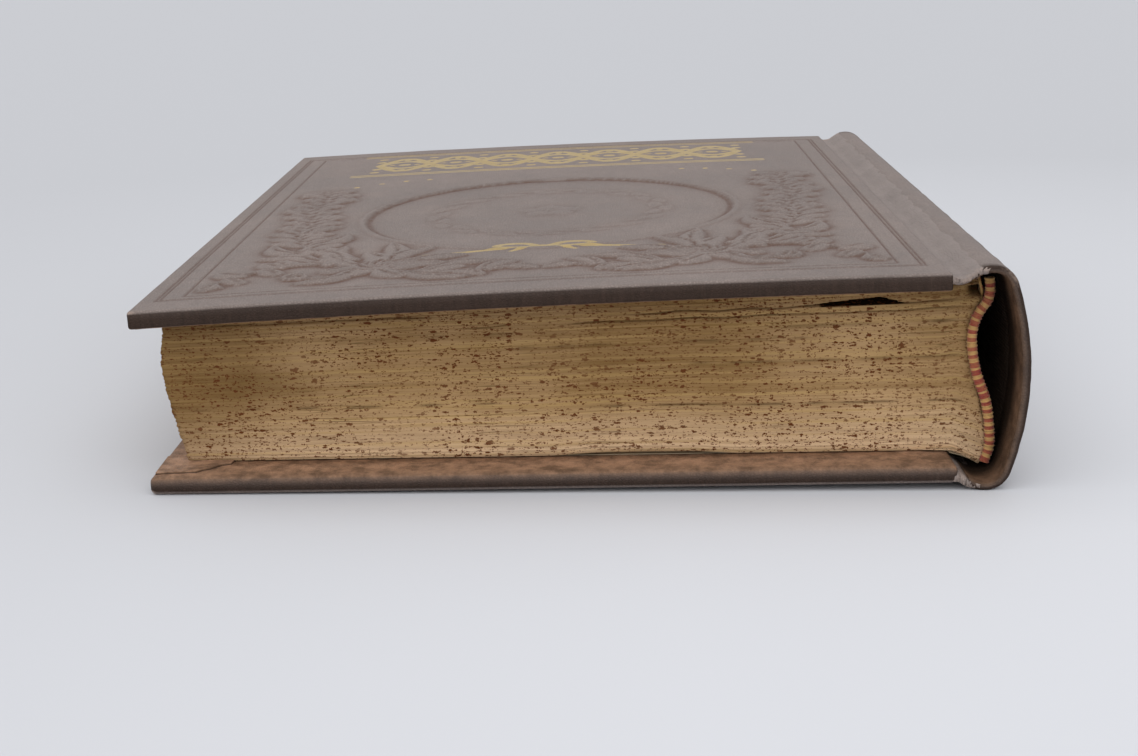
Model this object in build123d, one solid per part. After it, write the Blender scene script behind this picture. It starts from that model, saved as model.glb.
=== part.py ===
from build123d import *
from math import cos, radians, sin, sqrt
import os

# An antique leather book, lying on its back cover with the spine to the right (+X),
# the tail (foot of the pages) to the front (-Y) and the decorated cover up (+Z).
# Everything is drawn on a bench frame first: x = 0 at the fore edge of the back cover,
# y = 0 at the tail edges of the covers, z = 0 on the table. The last step moves the
# origin to the middle of the book's footprint, on the table.
# Lengths are in millimetres and angles in degrees.

# --- covers -----------------------------------------------------------------
COVER_WIDTH = 175.0          # fore edge to joint, over the leather
COVER_LENGTH = 250.0         # tail to head, over the leather
COVER_THICKNESS = 4.0        # board, leather and turn-in together
SKIN = 0.5                   # leather on the outer faces and edges
TURN_IN = 15.0               # leather folded over onto the inner face
TURN_IN_SKIN = 0.4           # pared leather of the turn-in, level with the pastedown
CORNER_ROUND = 2.2           # worn round in plan
OUTER_EDGE_ROUND = 1.2
INNER_EDGE_ROUND = 0.8
BACK_TILT = 0.52             # the back cover rises this much towards the spine
FRONT_TILT = 2.3             # the front cover rises this much towards the spine
FRONT_SHIFT = 2.6            # the front cover sits this much further out at the fore edge

# --- spine ------------------------------------------------------------------
SPINE_HEIGHT = 49.2          # over both shoulders
SPINE_DEPTH = 10.7           # from the shoulders' ends to the round of the back
SPINE_BOW = 4.465            # how far the round of the back stands out between its corners
SHOULDER_ROUND = 5.5         # tight round at each shoulder
SHOULDER_RISE = 1.4          # the upper shoulder stands this much above the front cover
JOINT_WIDTH = 3.6            # from the back cover to the spine's lower shoulder
SPINE_SKIN = 0.7             # leather
INLAY_THICKNESS = 0.5        # card strip that stiffens the spine
SPINE_TURN_IN_SKIN = 0.4     # leather turned in over the ends of the card
SPINE_TURN_IN = 15.0

# --- text block -------------------------------------------------------------
TAIL_SQUARE = 12.0           # cover beyond the leaves at the tail
HEAD_SQUARE = 6.0            # cover beyond the leaves at the head
LEAF_CLEARANCE = 0.2         # between the leaves and each pastedown
LEAF_FOOT_GAP = 1.1          # between the lower spine corner of the leaves and the spine
LEAF_TOP_GAP = 0.3           # between the upper spine corner and the leather of the groove
SHOULDER_START = 0.5         # the leaves' lower shoulder starts this far beyond the back cover
# Fore edge of the slumped block: distance in from the back cover's edge, and height share.
FORE_EDGE = ((6.2, 0.0), (3.7, 0.28), (1.3, 0.66), (2.3, 1.0))
# Spine edge of the block: distance in from the spine's inner face, and height share.
BACK_EDGE = ((6.1, 0.0), (4.7, 0.14), (9.3, 0.66), (7.1, 0.88), (8.1, 1.0))

# --- linings and bands ------------------------------------------------------
LINING_THICKNESS = 0.6       # mull and paper glued on the backs of the sections
BAND_DIAMETER = 2.5          # striped bead of each end band
BAND_SKIRT = 15.0            # cloth of each band, glued down the back
BAND_FOOT_GAP = 1.8          # between the bead's lower end and the spine
BAND_TOP_GAP = 2.4           # between the bead's upper end and the spine
# Middle of each bead: distance in from the spine's inner face, and height share.
BAND_EDGE = ((5.5, 0.0), (4.1, 0.14), (8.8, 0.66), (5.8, 0.87), (5.5, 1.0))
GLUE_GAP = 0.12              # between the leaves and what is glued on their backs
HINGE_THICKNESS = 0.3        # mull flange and endpaper fold in each joint
JOINT_SKIN = 1.1             # leather in each joint
JOINT_GAP = 0.05             # between a joint strip and what it meets
GROOVE_DROP = 1.5            # floor of the front groove below the front cover's face

# --- worked out -------------------------------------------------------------
BACK_RISE = COVER_WIDTH * sin(radians(BACK_TILT))
BACK_END_X = COVER_WIDTH * cos(radians(BACK_TILT))
FRONT_FACE_Z = SPINE_HEIGHT - SHOULDER_RISE
FRONT_FORE_X = -FRONT_SHIFT
FRONT_END_X = FRONT_FORE_X + COVER_WIDTH * cos(radians(FRONT_TILT))
FRONT_FORE_Z = FRONT_FACE_Z - COVER_WIDTH * sin(radians(FRONT_TILT))
FRONT_INNER_END_X = FRONT_END_X + COVER_THICKNESS * sin(radians(FRONT_TILT))
GROOVE_FLOOR_Z = FRONT_FACE_Z - GROOVE_DROP
SHOULDER_X = BACK_END_X + JOINT_WIDTH
SPINE_FACE_X = SHOULDER_X + SPINE_DEPTH
SPINE_WALL = SPINE_SKIN + INLAY_THICKNESS + SPINE_TURN_IN_SKIN
SPINE_INNER_TOP_Z = SPINE_HEIGHT - SPINE_WALL
SPINE_INNER_X = SPINE_FACE_X - SPINE_WALL
SPINE_BOW_RADIUS = (SPINE_HEIGHT ** 2 / 4 + SPINE_BOW ** 2) / (2 * SPINE_BOW)
BOW_CENTRE_X = SPINE_FACE_X - SPINE_BOW_RADIUS
BLOCK_TAIL_Y = TAIL_SQUARE
BLOCK_HEAD_Y = COVER_LENGTH - HEAD_SQUARE
BLOCK_BACK_LOW_Z = SPINE_WALL + LEAF_FOOT_GAP
BLOCK_BACK_HIGH_Z = GROOVE_FLOOR_Z - JOINT_SKIN - LEAF_TOP_GAP
BAND_FOOT_Z = SPINE_WALL + BAND_FOOT_GAP
BAND_TOP_Z = SPINE_INNER_TOP_Z - BAND_TOP_GAP
ORIGIN_X = (SPINE_FACE_X + FRONT_FORE_X) / 2
ORIGIN_Y = COVER_LENGTH / 2


def back_inner_z(x):
    """Height of the back cover's inner face at x."""
    return x * sin(radians(BACK_TILT)) + COVER_THICKNESS / cos(radians(BACK_TILT))


def front_inner_z(x):
    """Height of the front cover's inner face at x."""
    slope = sin(radians(FRONT_TILT)) / cos(radians(FRONT_TILT))
    outer = FRONT_FACE_Z + (x - FRONT_END_X) * slope
    return outer - COVER_THICKNESS / cos(radians(FRONT_TILT))


def prism(section, y_start, y_end):
    """Extrude a section, drawn with its own x and y as the book's x and z, along the book's y."""
    return extrude(Plane.XZ.offset(-y_start) * section, amount=y_start - y_end)


def outline(*edges):
    """A face inside a closed run of edges."""
    return make_face(Wire(list(edges)))


def block_box(x_start, x_end, y_start, y_end, z_start, z_end):
    """A box given by its limits."""
    size = (x_end - x_start, y_end - y_start, z_end - z_start)
    return Pos(x_start, y_start, z_start) * Box(*size, align=(Align.MIN, Align.MIN, Align.MIN))


# --- one cover, lying flat with its outer face down on z = 0 -----------------
def cover_board():
    """Millboard inside the leather."""
    inner_face = COVER_THICKNESS - TURN_IN_SKIN
    return block_box(SKIN, COVER_WIDTH - SKIN, SKIN, COVER_LENGTH - SKIN, SKIN, inner_face)


def cover_window(z_start, z_end):
    """The space inside the turn-ins, open to the joint."""
    return block_box(TURN_IN, COVER_WIDTH, TURN_IN, COVER_LENGTH - TURN_IN, z_start, z_end)


def cover_leather():
    """Leather over the outer face and edges, turned in on the inner face."""
    leather = block_box(0, COVER_WIDTH, 0, COVER_LENGTH, 0, COVER_THICKNESS)
    fore_corners = leather.edges().filter_by(Axis.Z).group_by(Axis.X)[0]
    leather = fillet(fore_corners, CORNER_ROUND)
    outer_rim = leather.faces().sort_by(Axis.Z)[0].edges()
    leather = fillet(outer_rim, OUTER_EDGE_ROUND)
    inner_rim = leather.faces().sort_by(Axis.Z)[-1].edges()
    leather = fillet(inner_rim, INNER_EDGE_ROUND)
    leather = leather - cover_board()
    return leather - cover_window(COVER_THICKNESS - TURN_IN_SKIN, COVER_THICKNESS)


def cover_pastedown():
    """Endpaper pasted on the board, level with the turn-ins, up to the joint edge."""
    joint_edge = COVER_WIDTH - SKIN
    pastedown = cover_window(COVER_THICKNESS - TURN_IN_SKIN, COVER_THICKNESS)
    beyond = block_box(joint_edge, COVER_WIDTH, 0, COVER_LENGTH, 0, COVER_THICKNESS)
    return pastedown - beyond


def place_back(piece):
    """Lay a cover piece as the back cover, its fore edge on the table."""
    return Rot(0, -BACK_TILT, 0) * piece


def place_front(piece):
    """Lay a cover piece as the front cover, outer face up."""
    turned = Pos(0, COVER_LENGTH, 0) * Rot(180, 0, 0) * piece
    return Pos(FRONT_FORE_X, 0, FRONT_FORE_Z) * Rot(0, -FRONT_TILT, 0) * turned


# --- spine -------------------------------------------------------------------
def spine_region(inset):
    """All that lies inside the spine's outer surface, drawn in by an inset."""
    radius = SPINE_BOW_RADIUS - inset
    low = inset
    high = SPINE_HEIGHT - inset
    middle = SPINE_HEIGHT / 2
    left = SHOULDER_X - SPINE_DEPTH
    corner_x = BOW_CENTRE_X + sqrt(radius ** 2 - (middle - inset) ** 2)
    bow_x = BOW_CENTRE_X + radius
    region = outline(
        Line((left, low), (corner_x, low)),
        ThreePointArc((corner_x, low), (bow_x, middle), (corner_x, high)),
        Line((corner_x, high), (left, high)),
        Line((left, high), (left, low)),
    )
    corners = region.vertices().group_by(Axis.X)[-1]
    return fillet(corners, SHOULDER_ROUND - inset)


def spine_shell(inset_start, inset_end, y_start, y_end):
    """A layer of the spine wall between two insets."""
    wall = spine_region(inset_start) - spine_region(inset_end)
    shell = prism(wall, y_start, y_end)
    joint_side = block_box(0, SHOULDER_X, 0, COVER_LENGTH, -SPINE_HEIGHT, 2 * SPINE_HEIGHT)
    return shell - joint_side


def spine_inlay():
    """Card strip between the leather and its turned-in ends."""
    layer = (SPINE_SKIN, SPINE_SKIN + INLAY_THICKNESS)
    return spine_shell(*layer, SPINE_SKIN, COVER_LENGTH - SPINE_SKIN)


def spine_leather():
    """Leather round the back, folded over the card at the head and the tail."""
    leather = spine_shell(0, SPINE_SKIN, 0, COVER_LENGTH)
    for y_start in (0, COVER_LENGTH - SPINE_TURN_IN):
        leather += spine_shell(0, SPINE_WALL, y_start, y_start + SPINE_TURN_IN)
    return leather - spine_inlay()


# --- text block --------------------------------------------------------------
def fore_edge_points():
    """Points down the fore edge of the leaves, from the lowest to the highest."""
    points = []
    for inward, share in FORE_EDGE:
        low = back_inner_z(inward) + LEAF_CLEARANCE
        high = front_inner_z(inward) - LEAF_CLEARANCE
        points.append((inward, low + share * (high - low)))
    return points


def edge_points(edge, shift):
    """Points up an edge of distances from the spine and height shares, moved outward by a shift."""
    height = BLOCK_BACK_HIGH_Z - BLOCK_BACK_LOW_Z
    points = []
    for inward, share in edge:
        points.append((SPINE_INNER_X - inward + shift, BLOCK_BACK_LOW_Z + share * height))
    return points


def text_block():
    """All leaves as one slumped block, swelling towards the spine."""
    fore = fore_edge_points()
    back = edge_points(BACK_EDGE, 0)
    low_shoulder = (BACK_END_X + SHOULDER_START, back_inner_z(BACK_END_X) + LEAF_CLEARANCE)
    high_shoulder = (FRONT_END_X, front_inner_z(FRONT_END_X) - LEAF_CLEARANCE)
    section = outline(
        Spline(fore),
        Line(fore[-1], high_shoulder),
        Line(high_shoulder, back[-1]),
        Spline(list(reversed(back))),
        Line(back[0], low_shoulder),
        Line(low_shoulder, fore[0]),
    )
    return prism(section, BLOCK_TAIL_Y, BLOCK_HEAD_Y)


def back_layer(y_start, y_end):
    """A layer glued on the spine edge of the leaves."""
    inner = edge_points(BACK_EDGE, GLUE_GAP)
    outer = edge_points(BACK_EDGE, GLUE_GAP + LINING_THICKNESS)
    section = outline(
        Spline(inner),
        Line(inner[-1], outer[-1]),
        Spline(list(reversed(outer))),
        Line(outer[0], inner[0]),
    )
    return prism(section, y_start, y_end)


def spine_lining():
    """Mull and paper on the backs of the sections, between the two end bands."""
    return back_layer(BLOCK_TAIL_Y + BAND_SKIRT, BLOCK_HEAD_Y - BAND_SKIRT)


def end_band(end_y, outward):
    """A striped end band: a bead at the end of the leaves and a skirt down their back."""
    half = BAND_DIAMETER / 2
    bead_left = []
    bead_right = []
    for x, z in edge_points(BAND_EDGE, 0):
        height = min(max(z, BAND_FOOT_Z), BAND_TOP_Z)
        bead_left.append((x - half, height))
        bead_right.append((x + half, height))
    section = outline(
        Spline(bead_left),
        Line(bead_left[-1], bead_right[-1]),
        Spline(list(reversed(bead_right))),
        Line(bead_right[0], bead_left[0]),
    )
    tip = end_y + outward * BAND_DIAMETER
    bead = prism(section, min(end_y, tip), max(end_y, tip))
    foot = end_y - outward * BAND_SKIRT
    skirt = back_layer(min(end_y, foot), max(end_y, foot))
    return bead + skirt


# --- joints ------------------------------------------------------------------
def front_joint_leather():
    """Leather lying in the groove between the front cover and the spine's shoulder."""
    start = FRONT_INNER_END_X + JOINT_GAP
    end = SHOULDER_X
    floor_z = GROOVE_FLOOR_Z
    section = outline(*Polyline(
        (start, floor_z - JOINT_SKIN),
        (end - JOINT_SKIN, floor_z - JOINT_SKIN),
        (end, SPINE_INNER_TOP_Z),
        (end, SPINE_INNER_TOP_Z + JOINT_SKIN),
        (end - JOINT_SKIN, floor_z),
        (start, floor_z),
        close=True,
    ).edges())
    return prism(section, 0, COVER_LENGTH)


def back_joint_leather():
    """Leather sloping from the back cover down to the spine's lower shoulder."""
    start = BACK_END_X + JOINT_GAP
    end = SHOULDER_X
    outer_z = BACK_RISE
    inner_z = back_inner_z(BACK_END_X)
    section = outline(*Polyline(
        (start, inner_z - JOINT_SKIN),
        (start, outer_z + SKIN),
        (end - JOINT_SKIN, SKIN),
        (end, SKIN / 2),
        (end, SPINE_WALL),
        close=True,
    ).edges())
    return prism(section, 0, COVER_LENGTH)


def inner_hinge(inner_start, inner_end, drop):
    """Mull flange and endpaper fold, a thin strip from a pastedown to the leaves' shoulder."""
    x_start, z_start = inner_start
    x_end, z_end = inner_end
    section = outline(*Polyline(
        (x_start, z_start),
        (x_end, z_end),
        (x_end, z_end + drop),
        (x_start, z_start + drop),
        close=True,
    ).edges())
    return prism(section, BLOCK_TAIL_Y, BLOCK_HEAD_Y)


def front_inner_hinge():
    """Over the upper shoulder of the leaves."""
    start_x = FRONT_INNER_END_X + JOINT_GAP
    end_x, end_z = edge_points(BACK_EDGE, 0)[-1]
    high_z = front_inner_z(FRONT_END_X) - LEAF_CLEARANCE
    slope = (end_z - high_z) / (end_x - FRONT_END_X)
    start_z = high_z + slope * (start_x - FRONT_END_X)
    lift = JOINT_GAP
    return inner_hinge((start_x, start_z + lift), (end_x, end_z + lift), HINGE_THICKNESS)


def back_inner_hinge():
    """Under the lower shoulder of the leaves."""
    start_x = BACK_END_X + SHOULDER_START
    start_z = back_inner_z(BACK_END_X) + LEAF_CLEARANCE
    end_x, end_z = edge_points(BACK_EDGE, 0)[0]
    lift = JOINT_GAP
    return inner_hinge((start_x, start_z - lift), (end_x, end_z - lift), -HINGE_THICKNESS)


pieces = {
    "text_block": text_block(),
    "spine_lining": spine_lining(),
    "tail_band": end_band(BLOCK_TAIL_Y, -1),
    "head_band": end_band(BLOCK_HEAD_Y, 1),
    "spine_leather": spine_leather(),
    "spine_inlay": spine_inlay(),
    "front_board": place_front(cover_board()),
    "front_cover_leather": place_front(cover_leather()),
    "front_pastedown": place_front(cover_pastedown()),
    "front_joint_leather": front_joint_leather(),
    "front_inner_hinge": front_inner_hinge(),
    "back_board": place_back(cover_board()),
    "back_cover_leather": place_back(cover_leather()),
    "back_pastedown": place_back(cover_pastedown()),
    "back_joint_leather": back_joint_leather(),
    "back_inner_hinge": back_inner_hinge(),
}

os.makedirs("parts", exist_ok=True)
for name, piece in pieces.items():
    export_step(Pos(-ORIGIN_X, -ORIGIN_Y, 0) * piece, f"parts/{name}.step")
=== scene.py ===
import math
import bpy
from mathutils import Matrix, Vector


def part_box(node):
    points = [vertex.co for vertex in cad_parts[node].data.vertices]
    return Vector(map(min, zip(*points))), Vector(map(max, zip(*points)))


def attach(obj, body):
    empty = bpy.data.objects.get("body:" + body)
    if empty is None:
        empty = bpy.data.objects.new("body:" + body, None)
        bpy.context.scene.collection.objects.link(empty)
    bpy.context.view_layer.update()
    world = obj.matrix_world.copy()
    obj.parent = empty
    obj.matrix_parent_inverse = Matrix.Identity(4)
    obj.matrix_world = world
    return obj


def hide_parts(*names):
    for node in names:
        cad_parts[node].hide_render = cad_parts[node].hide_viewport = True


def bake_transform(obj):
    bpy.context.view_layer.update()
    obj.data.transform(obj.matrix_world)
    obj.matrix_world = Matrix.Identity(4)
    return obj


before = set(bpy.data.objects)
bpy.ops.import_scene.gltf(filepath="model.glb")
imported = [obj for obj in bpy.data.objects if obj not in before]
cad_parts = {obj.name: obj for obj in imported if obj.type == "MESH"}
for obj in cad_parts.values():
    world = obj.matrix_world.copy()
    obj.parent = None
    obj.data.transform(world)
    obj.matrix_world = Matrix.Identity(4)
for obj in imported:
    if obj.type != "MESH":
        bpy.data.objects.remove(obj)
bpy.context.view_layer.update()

from types import SimpleNamespace

import bmesh
import bpy
import numpy as np

bl_info = {
    "name": "Antique leather book",
    "version": (1, 0, 0),
    "blender": (4, 5, 0),
    "location": "3D View > Sidebar > Book",
    "description": "Builds the looks of a hollow-back leather book on its packed frame",
    "category": "Object",
}

MM = 0.001
FRONT_BODY = "front_cover"
BACK_BODY = "back_cover"
BLOCK_BODY = "book_block"


# --- sizes and colours a user would change ------------------------------------
class BookSizes(bpy.types.PropertyGroup):
    skin: bpy.props.FloatProperty(
        name="Leather", description="Leather on the outer faces", unit="LENGTH", default=0.0005)
    board: bpy.props.FloatProperty(
        name="Board", description="Millboard", unit="LENGTH", default=0.0031)
    turn_in_skin: bpy.props.FloatProperty(
        name="Turn-in leather", description="Pared leather on the inner faces",
        unit="LENGTH", default=0.0004)
    turn_in: bpy.props.FloatProperty(
        name="Turn-in", description="Width of the turn-ins", unit="LENGTH", default=0.015)
    edge_round: bpy.props.FloatProperty(
        name="Front edge rounding", description="Rounding of the front cover's edges",
        unit="LENGTH", default=0.00075)
    back_edge_round: bpy.props.FloatProperty(
        name="Back edge rounding", description="Rounding of the back cover's edges",
        unit="LENGTH", default=0.0014)
    front_bow: bpy.props.FloatProperty(
        name="Bow", description="Bow of the front cover", unit="LENGTH", default=0.00085)
    front_lift: bpy.props.FloatProperty(
        name="Lift", description="Lift of the front cover's head corner",
        unit="LENGTH", default=0.0012)
    relief_height: bpy.props.FloatProperty(
        name="Relief", description="Height of the blind-tooled relief",
        unit="LENGTH", default=0.00095)
    spine_bow: bpy.props.FloatProperty(
        name="Spine bow", description="Round of the back", unit="LENGTH", default=0.004465)
    shoulder_round: bpy.props.FloatProperty(
        name="Shoulder rounding", description="Round of the shoulders",
        unit="LENGTH", default=0.0055)
    spine_wall: bpy.props.FloatProperty(
        name="Spine wall", description="Leather, card and turn-in", unit="LENGTH", default=0.0016)
    bead: bpy.props.FloatProperty(
        name="Bead", description="Diameter of the end bands' bead", unit="LENGTH", default=0.00225)
    stripe: bpy.props.FloatProperty(
        name="Stripe", description="One red and one yellow stripe",
        unit="LENGTH", default=0.00185)


class BookColours(bpy.types.PropertyGroup):
    # Leather: the calf's brown with painted sheen, lighter and greyer as its top faces look in
    # grazing light.
    leather: bpy.props.FloatVectorProperty(
        name="Leather", description="Taupe of the covers", subtype="COLOR", size=3,
        default=(0.200, 0.161, 0.144))
    # Dark leather: the brown of the edges and sides with painted shade, darker than the calf's own
    # brown; also the dark of the grain's pits.
    leather_dark: bpy.props.FloatVectorProperty(
        name="Dark leather", description="Brown of the edges and hollows", subtype="COLOR",
        size=3, default=(0.028, 0.017, 0.012))
    leather_worn: bpy.props.FloatVectorProperty(
        name="Worn leather", description="Beige of rubbed leather", subtype="COLOR", size=3,
        default=(0.36, 0.27, 0.22))
    leather_inside: bpy.props.FloatVectorProperty(
        name="Turned-in leather", description="Redder brown inside", subtype="COLOR", size=3,
        default=(0.275, 0.160, 0.098))
    gilt: bpy.props.FloatVectorProperty(
        name="Gilt", description="Rubbed gold leaf", subtype="COLOR", size=3,
        default=(0.50, 0.36, 0.16))
    # Light and dark leaves: the lower leaf edges lit, the upper ones darkened by painted shade
    # under the front cover's overhang.
    leaf_light: bpy.props.FloatVectorProperty(
        name="Light leaves", description="Edges of the lower leaves", subtype="COLOR", size=3,
        default=(0.60, 0.40, 0.215))
    leaf_dark: bpy.props.FloatVectorProperty(
        name="Dark leaves", description="Edges of the upper leaves", subtype="COLOR", size=3,
        default=(0.205, 0.112, 0.036))
    paper: bpy.props.FloatVectorProperty(
        name="Paper", description="Aged cream of the endpapers and flyleaves", subtype="COLOR",
        size=3, default=(0.60, 0.485, 0.325))
    # Lowest leaves: painted light, the bottom of the leaf edges paler and pinkish.
    leaf_low: bpy.props.FloatVectorProperty(
        name="Lowest leaves", description="Paler, pinkish leaves low in the block",
        subtype="COLOR", size=3, default=(0.62, 0.44, 0.29))
    leaf_yellow: bpy.props.FloatVectorProperty(
        name="Yellowed leaves", description="Gatherings that yellowed more",
        subtype="COLOR", size=3, default=(0.46, 0.30, 0.12))
    speck: bpy.props.FloatVectorProperty(
        name="Sprinkle", description="Brown sprinkled specks", subtype="COLOR", size=3,
        default=(0.115, 0.036, 0.012))
    band_red: bpy.props.FloatVectorProperty(
        name="Band red", description="Red of the end bands", subtype="COLOR", size=3,
        default=(0.30, 0.038, 0.030))
    band_yellow: bpy.props.FloatVectorProperty(
        name="Band yellow", description="Yellow of the end bands", subtype="COLOR", size=3,
        default=(0.58, 0.34, 0.12))
    floor: bpy.props.FloatVectorProperty(
        name="Floor", description="Pale table", subtype="COLOR", size=3,
        default=(0.60, 0.60, 0.622))


def sizes():
    """The sizes in millimetres, the unit of the functions below."""
    chosen = bpy.context.scene.book_sizes
    return SimpleNamespace(**{key: round(getattr(chosen, key) / MM, 4)
                              for key in BookSizes.__annotations__})


def colours():
    """The colours that a user can change."""
    return bpy.context.scene.book_colours


# --- small geometry helpers ---------------------------------------------------
def make_mesh(name, verts, faces, attributes=None, uv=None, smooth=True):
    """A closed mesh object at the origin, with outward faces, from points in metres."""
    mesh = bpy.data.meshes.new(name)
    mesh.from_pydata([tuple(v) for v in verts], [], [tuple(f) for f in faces])
    for key, values in (attributes or {}).items():
        layer = mesh.attributes.new(key, "FLOAT", "POINT")
        layer.data.foreach_set("value", np.asarray(values, np.float32))
    if uv is not None:
        corner = np.zeros(len(mesh.loops), np.int32)
        mesh.loops.foreach_get("vertex_index", corner)
        layer = mesh.uv_layers.new(name="leaves")
        layer.data.foreach_set("uv", np.asarray(uv, np.float32)[corner].ravel())
    work = bmesh.new()
    work.from_mesh(mesh)
    bmesh.ops.recalc_face_normals(work, faces=work.faces)
    work.to_mesh(mesh)
    work.free()
    mesh.polygons.foreach_set("use_smooth", [smooth] * len(mesh.polygons))
    mesh.update()
    piece = bpy.data.objects.new(name, mesh)
    bpy.context.scene.collection.objects.link(piece)
    return piece


def spline(points, steps=12):
    """Points along a smooth Catmull-Rom curve through the given points."""
    p = np.asarray(points, float)
    p = np.vstack([2 * p[0] - p[1], p, 2 * p[-1] - p[-2]])
    t = np.linspace(0, 1, steps, endpoint=False)[:, None]
    out = []
    for a, b, c, d in zip(p[:-3], p[1:-2], p[2:-1], p[3:]):
        out.append(0.5 * (2 * b + (c - a) * t + (2 * a - 5 * b + 4 * c - d) * t ** 2
                          + (3 * b - a - 3 * c + d) * t ** 3))
    return np.vstack(out + [p[-2][None, :]])


def wander(t, seed, waves=7):
    """Smooth seeded noise of t, about -1 to 1, with about one swing for each unit of t."""
    rng = np.random.default_rng(seed)
    total = np.zeros_like(np.asarray(t, float))
    for k in range(waves):
        rate = math.tau * rng.uniform(0.25, 1.3)
        total = total + rng.uniform(0.5, 1.0) * np.sin(rate * t + rng.uniform(0, math.tau))
    return total / waves * 1.8


def smoothstep(low, high, x):
    """0 at low, 1 at high and eased between; low may be above high."""
    t = np.clip((x - low) / (high - low), 0, 1)
    return t * t * (3 - 2 * t)


def lattice_box(counts):
    """Lattice points and quads of a box's surface, with counts points along each side."""
    n = np.array(counts)
    quads = []
    for axis in range(3):
        a, b = [k for k in range(3) if k != axis]
        i, j = np.meshgrid(np.arange(n[a] - 1), np.arange(n[b] - 1), indexing="ij")
        for level in (0, n[axis] - 1):
            corners = []
            for da, db in ((0, 0), (1, 0), (1, 1), (0, 1)):
                c = np.zeros(i.shape + (3,), int)
                c[..., a] = i + da
                c[..., b] = j + db
                c[..., axis] = level
                corners.append(c.reshape(-1, 3))
            quads.append(np.stack(corners, 1))
    quads = np.vstack(quads).reshape(-1, 3)
    keys = (quads[:, 0] * n[1] + quads[:, 1]) * n[2] + quads[:, 2]
    _, first, inverse = np.unique(keys, return_index=True, return_inverse=True)
    return quads[first], inverse.reshape(-1, 4)


def loft_faces(rows, ring):
    """Quads between rows of ring points each, with both ends closed across the ring."""
    faces = []
    for r in range(rows - 1):
        for k in range(ring):
            a, b = r * ring + k, r * ring + (k + 1) % ring
            faces.append([a, b, b + ring, a + ring])
    for start in (0, (rows - 1) * ring):
        for k in range(ring // 2 - 1):
            faces.append([start + k, start + k + 1, start + ring - 2 - k, start + ring - 1 - k])
    return faces


def round_box(p, low, high, radius):
    """Push points of a box's surface in to a box with rounded edges."""
    q = np.clip(p, np.asarray(low) + radius, np.asarray(high) - radius)
    d = p - q
    length = np.linalg.norm(d, axis=1, keepdims=True)
    return np.where(length > 1e-9, q + d / np.maximum(length, 1e-9) * radius, p)


def lines_along(length, pitch, extra=()):
    """Grid lines from 0 to length, about a pitch apart, with extra lines let in."""
    base = np.linspace(0, length, int(round(length / pitch)) + 1)
    extra = np.asarray([e for e in extra if 0 < e < length], float)
    if len(extra):
        near = np.min(np.abs(base[:, None] - extra[None, :]), axis=1) < 0.35 * pitch
        near[[0, -1]] = False
        base = base[~near]
    return np.unique(np.concatenate([base, extra]))


# --- shader helpers -----------------------------------------------------------
class Nodes:
    """Short calls that add nodes to a tree and join them."""

    def __init__(self, tree):
        self.tree = tree
        tree.nodes.clear()

    def add(self, kind, inputs=None, **settings):
        node = self.tree.nodes.new(kind)
        for key, value in settings.items():
            setattr(node, key, value)
        for key, value in (inputs or {}).items():
            if isinstance(value, bpy.types.NodeSocket):
                self.tree.links.new(value, node.inputs[key])
            else:
                node.inputs[key].default_value = value
        return node

    def math(self, operation, a, b=0.0, clamp=False):
        node = self.add("ShaderNodeMath", {0: a, 1: b}, operation=operation, use_clamp=clamp)
        return node.outputs[0]

    def mix(self, factor, a, b, blend="MIX"):
        node = self.add("ShaderNodeMix", data_type="RGBA", blend_type=blend)
        for index, value in ((0, factor), (6, a), (7, b)):
            if isinstance(value, bpy.types.NodeSocket):
                self.tree.links.new(value, node.inputs[index])
            else:
                if index:
                    value = tuple(value) + (1.0,) if len(value) == 3 else value
                node.inputs[index].default_value = value
        return node.outputs[2]

    def span(self, value, low, high, to_low=0.0, to_high=1.0):
        node = self.add("ShaderNodeMapRange", {
            "Value": value, "From Min": low, "From Max": high,
            "To Min": to_low, "To Max": to_high})
        return node.outputs["Result"]

    def noise(self, vector, scale, detail=3.0, rough=0.55):
        node = self.add("ShaderNodeTexNoise", {
            "Vector": vector, "Scale": scale, "Detail": detail, "Roughness": rough})
        return node.outputs["Fac"]


def group(name, inputs, outputs, build):
    """A shader node group, built once and used by name."""
    tree = bpy.data.node_groups.get(name)
    if tree:
        return tree
    tree = bpy.data.node_groups.new(name, "ShaderNodeTree")
    for label, kind, default in inputs:
        socket = tree.interface.new_socket(label, in_out="INPUT", socket_type=kind)
        socket.default_value = default
    for label, kind in outputs:
        tree.interface.new_socket(label, in_out="OUTPUT", socket_type=kind)
    n = Nodes(tree)
    source = tree.nodes.new("NodeGroupInput")
    sink = tree.nodes.new("NodeGroupOutput")
    for label, socket in build(n, source.outputs).items():
        tree.links.new(socket, sink.inputs[label])
    return tree


def leather_grain(n, given):
    """Fine pores and creases of calf, as a height."""
    place = n.add("ShaderNodeTexCoord").outputs["Object"]
    warp = n.add("ShaderNodeTexNoise", {"Vector": place, "Scale": 180.0, "Detail": 2.0})
    bent = n.add("ShaderNodeMix", {0: 0.0004, 4: place, 5: warp.outputs["Color"]},
                 data_type="VECTOR").outputs[1]
    pores = n.add("ShaderNodeTexVoronoi", {"Vector": bent, "Scale": given["Pores"]},
                  feature="DISTANCE_TO_EDGE").outputs["Distance"]
    pits = n.span(pores, 0.0, 0.25)
    fibre = n.noise(place, 2600.0, 4.0, 0.65)
    broad = n.noise(place, 260.0, 3.0, 0.5)
    height = n.math("ADD", n.math("MULTIPLY", pits, 0.55), n.math("MULTIPLY", fibre, 0.5))
    height = n.math("ADD", height, n.math("MULTIPLY", broad, given["Creases"]))
    return {"Height": height, "Pits": pits}


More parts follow.
